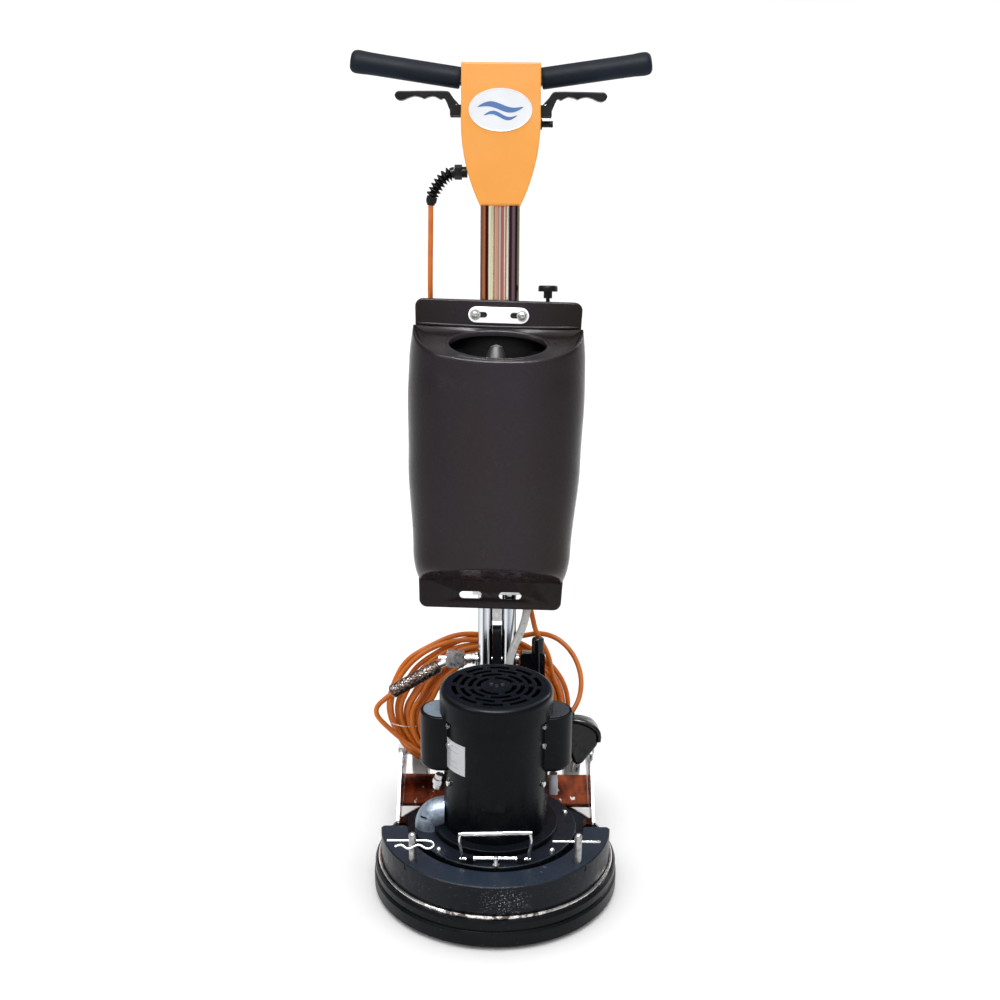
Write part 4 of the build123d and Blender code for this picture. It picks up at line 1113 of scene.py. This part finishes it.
def make_rating_plate():
    """A blank curved plate on the motor with a few plain rules."""
    radius, low, high = .0764, .207, .254
    inner = arc(0, 0, radius - .0003, 192, 235, 16)
    outer = arc(0, 0, radius + .0004, 192, 235, 16)
    rings = [[(*a, low), (*a, high), (*b, high), (*b, low)] for a, b in zip(inner, outer)]
    finish_piece(mesh_object("rating_plate", *rings_mesh(rings), 30), LABEL_SILVER, "base", "aluminium")
    rules = []
    for z, end in ((.247, 225), (.239, 225), (.231, 213), (.223, 225), (.215, 225)):
        line = [Vector((x, y, z)) for x, y in arc(0, 0, radius + .0003, 197, end, 8)]
        rules.append(tube("rule", line, .0004, 6))
    finish_piece(joined("rating_rules", rules), LABEL_INK, "base", "aluminium")


def make_box_gland():
    """The chrome gland under the left capacitor box with its nut."""
    place = shift(-.086, -.012, .162) @ turn(12, "Y")
    body = [(.0005, -.002), (.0052, -.002), (.0062, 0), (.0062, .006), (.0085, .007), (.0085, .014),
            (.0068, .015), (.0068, .022), (.0005, .0225)]
    return turned("box_gland", body, place, 6, 20)


def make_ferrule():
    """The grey ferrule under the right capacitor box."""
    body = [(.0005, .150), (.0060, .1505), (.0068, .153), (.0068, .172), (.0060, .176), (.0060, .183),
            (.0005, .1835)]
    return turned("box_ferrule", body, shift(.084, -.006, 0), 28)


def make_lid_plate(side):
    """The lid on top of a capacitor box, from its round outer end to the motor's side."""
    outline = arc(.079, 0, .0265, -90, 90, 24) + arc(0, 0, .0785, 19.5, -19.5, 12)
    place = Matrix.Scale(side, 4, (1, 0, 0)) @ shift(0, 0, .2829)
    return prism("box_lid", outline, .0011, place, .0004, 2)


def make_clip(side):
    """A spring clip: a straight leg through the post and a waved leg beside it."""
    straight = [(-.036, 0), (-.020, 0), (0, 0), (.016, 0)]
    waved = [(.023, .0003), (.029, .0025), (.031, .0070), (.028, .0115), (.022, .0135), (.016, .0105),
             (.010, .0062), (.004, .0085), (-.002, .0130), (-.008, .0128), (-.013, .0080), (-.018, .0066),
             (-.024, .0100)]
    slant = math.radians(28 if side < 0 else 150)
    line = []
    for x, s in straight + waved:
        line.append(Vector((side * .117 + x, -.103 - s * math.cos(slant), .128 - s * math.sin(slant))))
    return tube("clip_wire", spline_line(line, 8), .0017, 12)


def make_stud():
    """A short threaded stud with a ring at its top, in front of the bail."""
    profile = [(.0003, .094), (.0052, .094), (.0052, .0975), (.0030, .0980)]
    for k in range(5):
        z = .0985 + .0016 * k
        profile += [(.0031, z), (.0027, z + .0008)]
    profile += [(.0031, .1070), (.0034, .1085), (.0026, .1092), (.0012, .1088), (.0003, .1070)]
    return turned("bail_stud", profile, shift(.001, -.1145, 0), 20, 45)


# The left lid gets the painted lit copy and the right lid the painted shaded copy.
for side, lid in ((-1, LID_PAINTED_LIT), (1, LID_PAINTED_SHADED)):
    finish_piece(make_lid_plate(side), lid, "base", "black_plastic")
finish_piece(joined("spring_clips", [make_clip(-1), make_clip(1)]), ZINC, "base", "zinc", "hairpins")
finish_piece(make_stud(), ZINC, "base", "zinc")
finish_piece(make_bail(), BAIL_CHROME, "bail", "chrome", "carry_bail")
make_rating_plate()
finish_piece(make_box_gland(), ZINC, "base", "zinc")
finish_piece(make_ferrule(), GREY_PLASTIC, "base", "grey_plastic")


# ---------------------------------------------------------------- floor and light
def make_floor_plane():
    half = 2500
    points = [(-half, -half, 0), (half, -half, 0), (half, half, 0), (-half, half, 0)]
    floor = mesh_object("studio_floor", points, [(0, 1, 2, 3)])
    floor.data.materials.append(FLOOR_WHITE)


def highlight_panel(name, place, aim, size, power):
    """A panel that only draws highlights; the white room does the even lighting."""
    data = bpy.data.lights.new(name, "AREA")
    data.shape = "RECTANGLE"
    data.size, data.size_y = size
    data.energy = power
    light = bpy.data.objects.new(name, data)
    light.visible_diffuse = False
    light.location = place
    light.rotation_euler = (Vector(aim) - Vector(place)).to_track_quat("-Z", "Y").to_euler()
    bpy.context.scene.collection.objects.link(light)


def make_world():
    """A white room: bright overhead, half as bright near the horizon and in front, dim in between."""
    world = bpy.data.worlds.new("studio")
    world.use_nodes = True
    tree = world.node_tree
    direction = add_node(tree, "TexCoord", {}).outputs["Generated"]
    split = add_node(tree, "SeparateXYZ", {0: direction}).outputs
    height = add_ramp(tree, split["Z"], [(0.0, 0.5), (0.04, 0.5), (0.12, 0.10), (0.60, 0.10), (0.76, 1.0)])
    toward_front = {"Value": split["Y"], "From Min": 0.2, "From Max": -0.8, "To Max": 0.42}
    facing = add_node(tree, "MapRange", toward_front).outputs["Result"]
    brighter = add_node(tree, "Math", {0: height, 1: facing}, operation="MAXIMUM").outputs[0]
    background = tree.nodes["Background"]
    tree.links.new(brighter, background.inputs["Color"])
    background.inputs["Strength"].default_value = 2.0
    bpy.context.scene.world = world


make_floor_plane()
make_world()
highlight_panel("ceiling", (-0.15, -1.0, 2.7), (0, 0.05, 0.55), (1.7, 0.4), 150)
highlight_panel("side", (-1.7, -1.0, 2.0), (0, 0.05, 0.5), (0.35, 1.0), 16)
highlight_panel("rim", (1.6, 1.6, 1.6), (0, 0.1, 0.6), (0.4, 1.2), 14)
